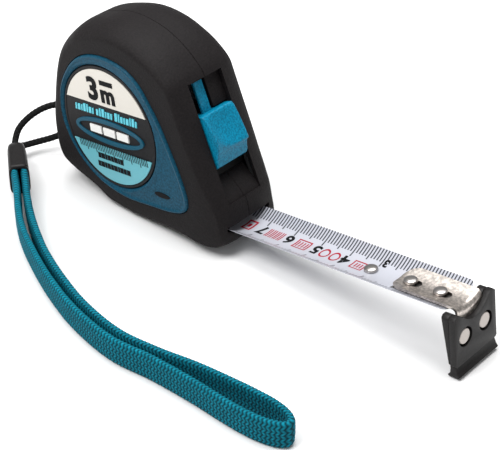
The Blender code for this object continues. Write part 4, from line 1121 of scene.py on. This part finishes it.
# ---------------------------------------------------------------- strap
def swept(name, centres, section, stitches):
    """Cloth tube along centres: a ring's section as web_section gives it, stitches for its relief."""
    count = len(centres)
    places = np.array([tuple(p) for p in centres])
    runs = np.gradient(places, axis=0)
    runs /= np.linalg.norm(runs, axis=1)[:, None]
    along = np.concatenate([[0], np.cumsum(np.linalg.norm(np.diff(places, axis=0), axis=1))])
    flat = np.array([(-r[1], r[0], 0.0) for r in runs])
    flat /= np.maximum(np.linalg.norm(flat, axis=1)[:, None], 1e-6)
    ups = np.cross(runs, flat)
    ring = np.array(section)
    normals = ring[:, 2:4]
    relief = stitches(along[:, None], ring[None, :, 4], ring[None, :, 0])
    depth = settings().weave_depth * 1000 * ring[None, :, 5]
    across = ring[None, :, 0] + normals[None, :, 0] * relief * depth
    up = ring[None, :, 1] + normals[None, :, 1] * relief * depth
    points = places[:, None, :] + flat[:, None, :] * across[..., None] + ups[:, None, :] * up[..., None]
    sides = len(ring)
    faces = []
    for i in range(count - 1):
        a = i * sides
        for k in range(sides):
            n = (k + 1) % sides
            faces.append((a + k, a + n, a + sides + n, a + sides + k))
    faces.append(tuple(range(sides))[::-1])
    faces.append(tuple(range((count - 1) * sides, count * sides)))
    mesh = bpy.data.meshes.new(name)
    mesh.from_pydata(points.reshape(-1, 3).tolist(), [], faces)
    layer = mesh.attributes.new("stitch", "FLOAT", "POINT")
    layer.data.foreach_set("value", relief.astype(np.float32).ravel())
    mesh.update()
    obj = link(name, mesh)
    shape = bmesh.new()
    shape.from_mesh(mesh)
    bmesh.ops.recalc_face_normals(shape, faces=shape.faces)
    shape.to_mesh(mesh)
    shape.free()
    return obj


def evenly(path, step):
    """Points a step apart along a path."""
    places = np.array([tuple(p) for p in path])
    along = np.concatenate([[0], np.cumsum(np.linalg.norm(np.diff(places, axis=0), axis=1))])
    wanted = np.linspace(0, along[-1], int(along[-1] / step) + 1)
    return [Vector((np.interp(d, along, places[:, 0]), np.interp(d, along, places[:, 1]),
                    np.interp(d, along, places[:, 2]))) for d in wanted]


def web_section():
    """Ring round the webbing: (across, up, outward across, outward up, place across the weave, depth)."""
    half, tall = WEB_THICKNESS / 2 + 0.08, WEB_WIDTH / 2 - 0.15
    ring = []
    rows = 34
    for side in (-1, 1):
        for k in range(rows + 1):
            up = tall * (2 * k / rows - 1) * -side
            curve = 1 - 0.5 * (abs(up) / tall) ** 6
            ring.append((side * half * curve, up, side, 0.0, up, 1.0))
        ring.append((side * half * 0.1, -side * tall * 1.012, 0.0, -side, -side * tall, 0.6))
    return ring


def herringbone(along, place, across):
    """Rows of slanted stitches that change lean from row to row, no two quite alike."""
    row = 0.94
    index = np.floor(place / row + 0.5)
    offset = place / row - index
    lean = np.where(np.mod(index, 2) == 0, 1.0, -1.0)
    phase = along / 1.12 + lean * offset * 0.6 + np.sign(across) * 0.25
    odd = np.sin(np.floor(phase + 0.5) * 12.9898 + index * 78.233 + np.sign(across) * 3.1) * 43758.5453
    odd = odd - np.floor(odd)
    wave = 0.5 + 0.5 * np.cos(2 * pi * phase)
    dome = np.sqrt(np.clip(1 - (2 * offset) ** 2 * 0.9, 0, 1))
    return np.clip(wave ** 0.9 * dome * (0.72 + 0.28 * odd), 0, 1)


def braid(along, place, _):
    """Diamond braid round a cord."""
    return 0.5 + 0.25 * (np.cos(2 * pi * (along / 1.3 + place)) + np.cos(2 * pi * (along / 1.3 - place)))


def web_path():
    """Route of the webbing, which rises off the floor into the ferrule."""
    lift = FERRULE_BACK.z - WEB_WIDTH / 2
    return smooth_path([(x, y, WEB_WIDTH / 2 + lift * min(1.0, max(0.0, (-60.0 - x) / 9.0)))
                        for x, y in WEB_ROUTE], 10)


def cord_path():
    """Route of the loop cord through the two holes in the heel, in row millimetres."""
    top, low = STRAP_HOLES
    inside = [(-35.5, 0, top)]
    for angle in (90, 60, 30, 0, -30, -60, -90):
        a = radians(angle)
        inside.append((-31.3 + 4.5 * cos(a), 0, (top + low) / 2 + (top - low) / 2 * sin(a)))
    inside.append((-35.5, 0, low))
    turn = [(CASE @ Vector(p)) * 1000 for p in inside]
    return smooth_path([Vector(p) for p in CORD_ROUTE] + turn + [Vector(p) for p in CORD_RETURN], 8)


def build_ferrule():
    """Moulded sleeve: round shouldered at the cord's end, with a socket for the strap."""
    heading = Vector((cos(FERRULE_TURN), sin(FERRULE_TURN), 0))
    across = Vector((-heading.y, heading.x, 0))

    def ring(along, share, half=(2.95, 4.6)):
        points = []
        for i in range(64):
            a = 2 * pi * (i + 0.5) / 64
            wide = half[0] * share * copysign(abs(cos(a)) ** 0.42, cos(a))
            high = half[1] * share * copysign(abs(sin(a)) ** 0.42, sin(a))
            points.append(FERRULE_BACK + heading * along + across * wide + Vector((0, 0, high)))
        return points

    rings = [ring(1.6, 0.36), ring(1.72, 0.5), ring(2.1, 0.64), ring(2.8, 0.77), ring(3.8, 0.87),
             ring(5.2, 0.94), ring(7.0, 0.98), ring(10.0, 1.0), ring(FERRULE_LENGTH - 1.3, 1.03),
             ring(FERRULE_LENGTH - 1.0, 0.99), ring(FERRULE_LENGTH - 0.7, 0.99),
             ring(FERRULE_LENGTH - 0.5, 1.04), ring(FERRULE_LENGTH - 0.1, 1.04), ring(FERRULE_LENGTH, 1.0),
             ring(FERRULE_LENGTH, 0.88), ring(11.0, 0.86)]
    return painted(loft("Strap_Ferrule", rings), holder_black())


# ---------------------------------------------------------------- operators
class TAPE_OT_grips(bpy.types.Operator):
    """Build the soft grip round the case"""
    bl_idname = "tape.grips"
    bl_label = "Build Grips"
    bl_options = {"REGISTER", "UNDO"}

    def execute(self, context):
        for side, label in ((-1, "left"), (1, "right")):
            extra = [build_shelf()] if side > 0 else []
            grip = join(build_grip(side, label), build_ramp(side, label), *extra)
            deliver(grip, "case", "soft_grip", f"grip_{label}", angle=28)
        return {"FINISHED"}


class TAPE_OT_panels(bpy.types.Operator):
    """Build the raised side panels"""
    bl_idname = "tape.panels"
    bl_label = "Build Panels"
    bl_options = {"REGISTER", "UNDO"}

    def execute(self, context):
        for side, label in ((-1, "left"), (1, "right")):
            panel = build_panel(side, label)
            tip = [(14.2 + 3.1 * cos(a), 11.4 + 0.85 * sin(a)) for a in np.linspace(0, 2 * pi, 32)[:-1]]
            mark = raised("tip_mark", tip, 13.3, 13.52, ink(), side, bevel=0.05)
            deliver(join(panel, mark), "case", "blue_panel", f"panel_{label}")
        return {"FINISHED"}


class TAPE_OT_labels(bpy.types.Operator):
    """Build the label discs and their raised shapes"""
    bl_idname = "tape.labels"
    bl_label = "Build Labels"
    bl_options = {"REGISTER", "UNDO"}

    def execute(self, context):
        for side, label in ((-1, "left"), (1, "right")):
            deliver(build_label(side, label), "case", "label_plate", f"label_disc_{label}")
        return {"FINISHED"}


class TAPE_OT_screws(bpy.types.Operator):
    """Build the case screws that can be seen"""
    bl_idname = "tape.screws"
    bl_label = "Build Screws"
    bl_options = {"REGISTER", "UNDO"}

    def execute(self, context):
        for (x, z), name in zip(SCREW_PLACES, ("rear_top", "front_top", "rear_bottom")):
            deliver(build_screw(name, x, z), "case", "nickel_plate", f"case_screw_{name}")
        return {"FINISHED"}


class TAPE_OT_lock(bpy.types.Operator):
    """Build the thumb lock"""
    bl_idname = "tape.lock"
    bl_label = "Build Lock"
    bl_options = {"REGISTER", "UNDO"}

    def execute(self, context):
        deliver(build_lock(), "lock", "lock_blue", "lock_button")
        return {"FINISHED"}


class TAPE_OT_blade(bpy.types.Operator):
    """Build the blade with its printed scale"""
    bl_idname = "tape.blade"
    bl_label = "Build Blade"
    bl_options = {"REGISTER", "UNDO"}

    def execute(self, context):
        blade = settle(build_blade(), angle=50)
        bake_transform(blade)
        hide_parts("blade_run")
        for name, x, mark in build_prints():
            settle(mark)
            t = min(1.0, max(0.0, (x - RUN_START) / (RUN_END - RUN_START)))
            if t >= 1.0:
                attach(mark, "tape_end")
            else:
                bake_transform(mark)
        return {"FINISHED"}


class TAPE_OT_rivets(bpy.types.Operator):
    """Build the hook rivets and the stop rivet"""
    bl_idname = "tape.rivets"
    bl_label = "Build Rivets"
    bl_options = {"REGISTER", "UNDO"}

    def execute(self, context):
        seat = BLADE_LOW + BLADE_THICKNESS + GAP + HOOK_STEEL + GAP / 2
        for place, label in zip(RIVETS, ("rear", "front")):
            rivet = build_rivet(f"Hook_Rivet_{label}", place, seat)
            deliver(rivet, "tape_end", "nickel_plate", f"hook_rivet_{label}")
        stop = build_rivet("Stop_Rivet", STOP_RIVET, BLADE_LOW + BLADE_THICKNESS + 0.2)
        deliver(stop, "tape_end", "nickel_plate", "stop_rivet")
        return {"FINISHED"}


class TAPE_OT_hook(bpy.types.Operator):
    """Build the end hook, its magnet holder and the magnets"""
    bl_idname = "tape.hook"
    bl_label = "Build Hook"
    bl_options = {"REGISTER", "UNDO"}

    def execute(self, context):
        deliver(build_hook(), "hook", "nickel_plate", "end_hook")
        deliver(build_holder(), "hook", "holder_plastic", "magnet_holder")
        for label, side in (("left", -1), ("right", 1)):
            magnet = spun(f"Magnet_{label}", [(2.2, -1.3), (2.2, -0.42), (2.05, -0.28), (0.0, -0.28)],
                          (HOLDER_FRONT, side * MAGNET_SIDE, MAGNET_HEIGHT), (1, 0, 0), sides=48)
            painted(magnet, material("Magnet", (0.46, 0.42, 0.39), 0.38, metallic=0.7))
            deliver(magnet, "hook", "nickel_plate", f"magnet_{label}")
        return {"FINISHED"}


class TAPE_OT_strap(bpy.types.Operator):
    """Build the wrist strap, its ferrule and the loop cord"""
    bl_idname = "tape.strap"
    bl_label = "Build Strap"
    bl_options = {"REGISTER", "UNDO"}

    def execute(self, context):
        s = settings()
        # Painted shade for the hollows between the strap's stitches, and the colour of the stitches' tops.
        stitch_hollow_shade = [c * 0.06 for c in s.webbing_colour]
        light = [min(1.0, c * 1.6) for c in s.webbing_colour]
        centres = evenly(web_path(), 0.24)
        webbing = painted(swept("Strap_Webbing", centres, web_section(), herringbone),
                          woven("Woven Strap", light, stitch_hollow_shade))
        deliver(webbing, "case", "teal_webbing", "strap_webbing", matrix=WORLD, angle=60)
        ferrule = deliver(build_ferrule(), "case", "holder_plastic", "strap_ferrule", matrix=WORLD)
        line = evenly(cord_path(), 0.22)
        ring = [(CORD_RADIUS * cos(a), CORD_RADIUS * sin(a), cos(a), sin(a), 3 * a / (2 * pi), 0.55)
                for a in np.linspace(0, 2 * pi, 41)[:-1]]
        # The cord's braid also gets painted shade in its grooves, from its darker second colour.
        cord = painted(swept("Strap_Cord", line, ring, braid),
                       woven("Braided Cord", (0.012, 0.012, 0.012), (0.003, 0.003, 0.003)))
        deliver(cord, "case", "black_cord", "strap_cord", matrix=WORLD, angle=60)
        return {"FINISHED"}


class TAPE_OT_stage(bpy.types.Operator):
    """Set up the floor, soft lights and camera"""
    bl_idname = "tape.stage"
    bl_label = "Set Up Stage"
    bl_options = {"REGISTER", "UNDO"}

    def execute(self, context):
        strength = settings().light_strength
        mesh = bpy.data.meshes.new("Floor")
        mesh.from_pydata([(x, y, FLOOR_DROP) for x, y in corners(-4, -4, 4, 4)], [], [(0, 1, 2, 3)])
        floor = painted(link("Floor", mesh), material("Studio Floor", (0.80, 0.80, 0.80), 0.85, specular=0.1))
        bpy.context.scene.view_settings.view_transform = "Standard"
        world = bpy.context.scene.world or bpy.data.worlds.new("Studio")
        bpy.context.scene.world = world
        world.use_nodes = True
        world.node_tree.nodes["Background"].inputs["Color"].default_value = (1.0, 1.0, 1.0, 1.0)
        world.node_tree.nodes["Background"].inputs["Strength"].default_value = 0.32 * strength
        middle = Vector((0.0, -0.01, 0.02))
        for name, place, size, power in LIGHTS:
            data = bpy.data.lights.new(name, "AREA")
            data.shape = "DISK"
            data.size = size
            data.energy = power * strength
            light = bpy.data.objects.new(name, data)
            light.location = place
            light.rotation_euler = (middle - Vector(place)).to_track_quat("-Z", "Y").to_euler()
            bpy.context.scene.collection.objects.link(light)
        data = bpy.data.cameras.new("Camera")
        data.lens = 109.1
        data.sensor_width = 36.0
        data.clip_start = 0.01
        camera = bpy.data.objects.new("Camera", data)
        bpy.context.scene.collection.objects.link(camera)
        zero = CASE @ Vector((ZERO_X, 0, BLADE_EDGE))
        camera.location = zero + Vector((0.1599, -0.2613, 0.2396))
        back = Vector((0.5406, -0.6052, 0.5844)).normalized()
        right = Vector((0.7458, 0.6662, 0.0)).normalized()
        turn = Matrix((right, back.cross(right), back)).transposed()
        camera.rotation_euler = turn.to_euler()
        bpy.context.scene.camera = camera
        return {"FINISHED"}


OPERATORS = (TAPE_OT_stage, TAPE_OT_strap, TAPE_OT_grips, TAPE_OT_panels, TAPE_OT_labels, TAPE_OT_screws,
             TAPE_OT_lock, TAPE_OT_blade, TAPE_OT_rivets, TAPE_OT_hook)


class TAPE_PT_panel(bpy.types.Panel):
    """Sidebar panel of the tape measure"""
    bl_label = "Tape Measure"
    bl_space_type = "VIEW_3D"
    bl_region_type = "UI"
    bl_category = "Tape"

    def draw(self, context):
        for name in TapeProperties.__annotations__:
            self.layout.prop(context.scene.tape_measure, name)
        for operator in OPERATORS:
            self.layout.operator(operator.bl_idname)


CLASSES = (TapeProperties, *OPERATORS, TAPE_PT_panel)


def register():
    for cls in CLASSES:
        bpy.utils.register_class(cls)
    bpy.types.Scene.tape_measure = bpy.props.PointerProperty(type=TapeProperties)


def unregister():
    del bpy.types.Scene.tape_measure
    for cls in reversed(CLASSES):
        bpy.utils.unregister_class(cls)


def main():
    register()
    for operator in OPERATORS:
        group, name = operator.bl_idname.split(".")
        getattr(getattr(bpy.ops, group), name)()


if __name__ == "__main__":
    main()
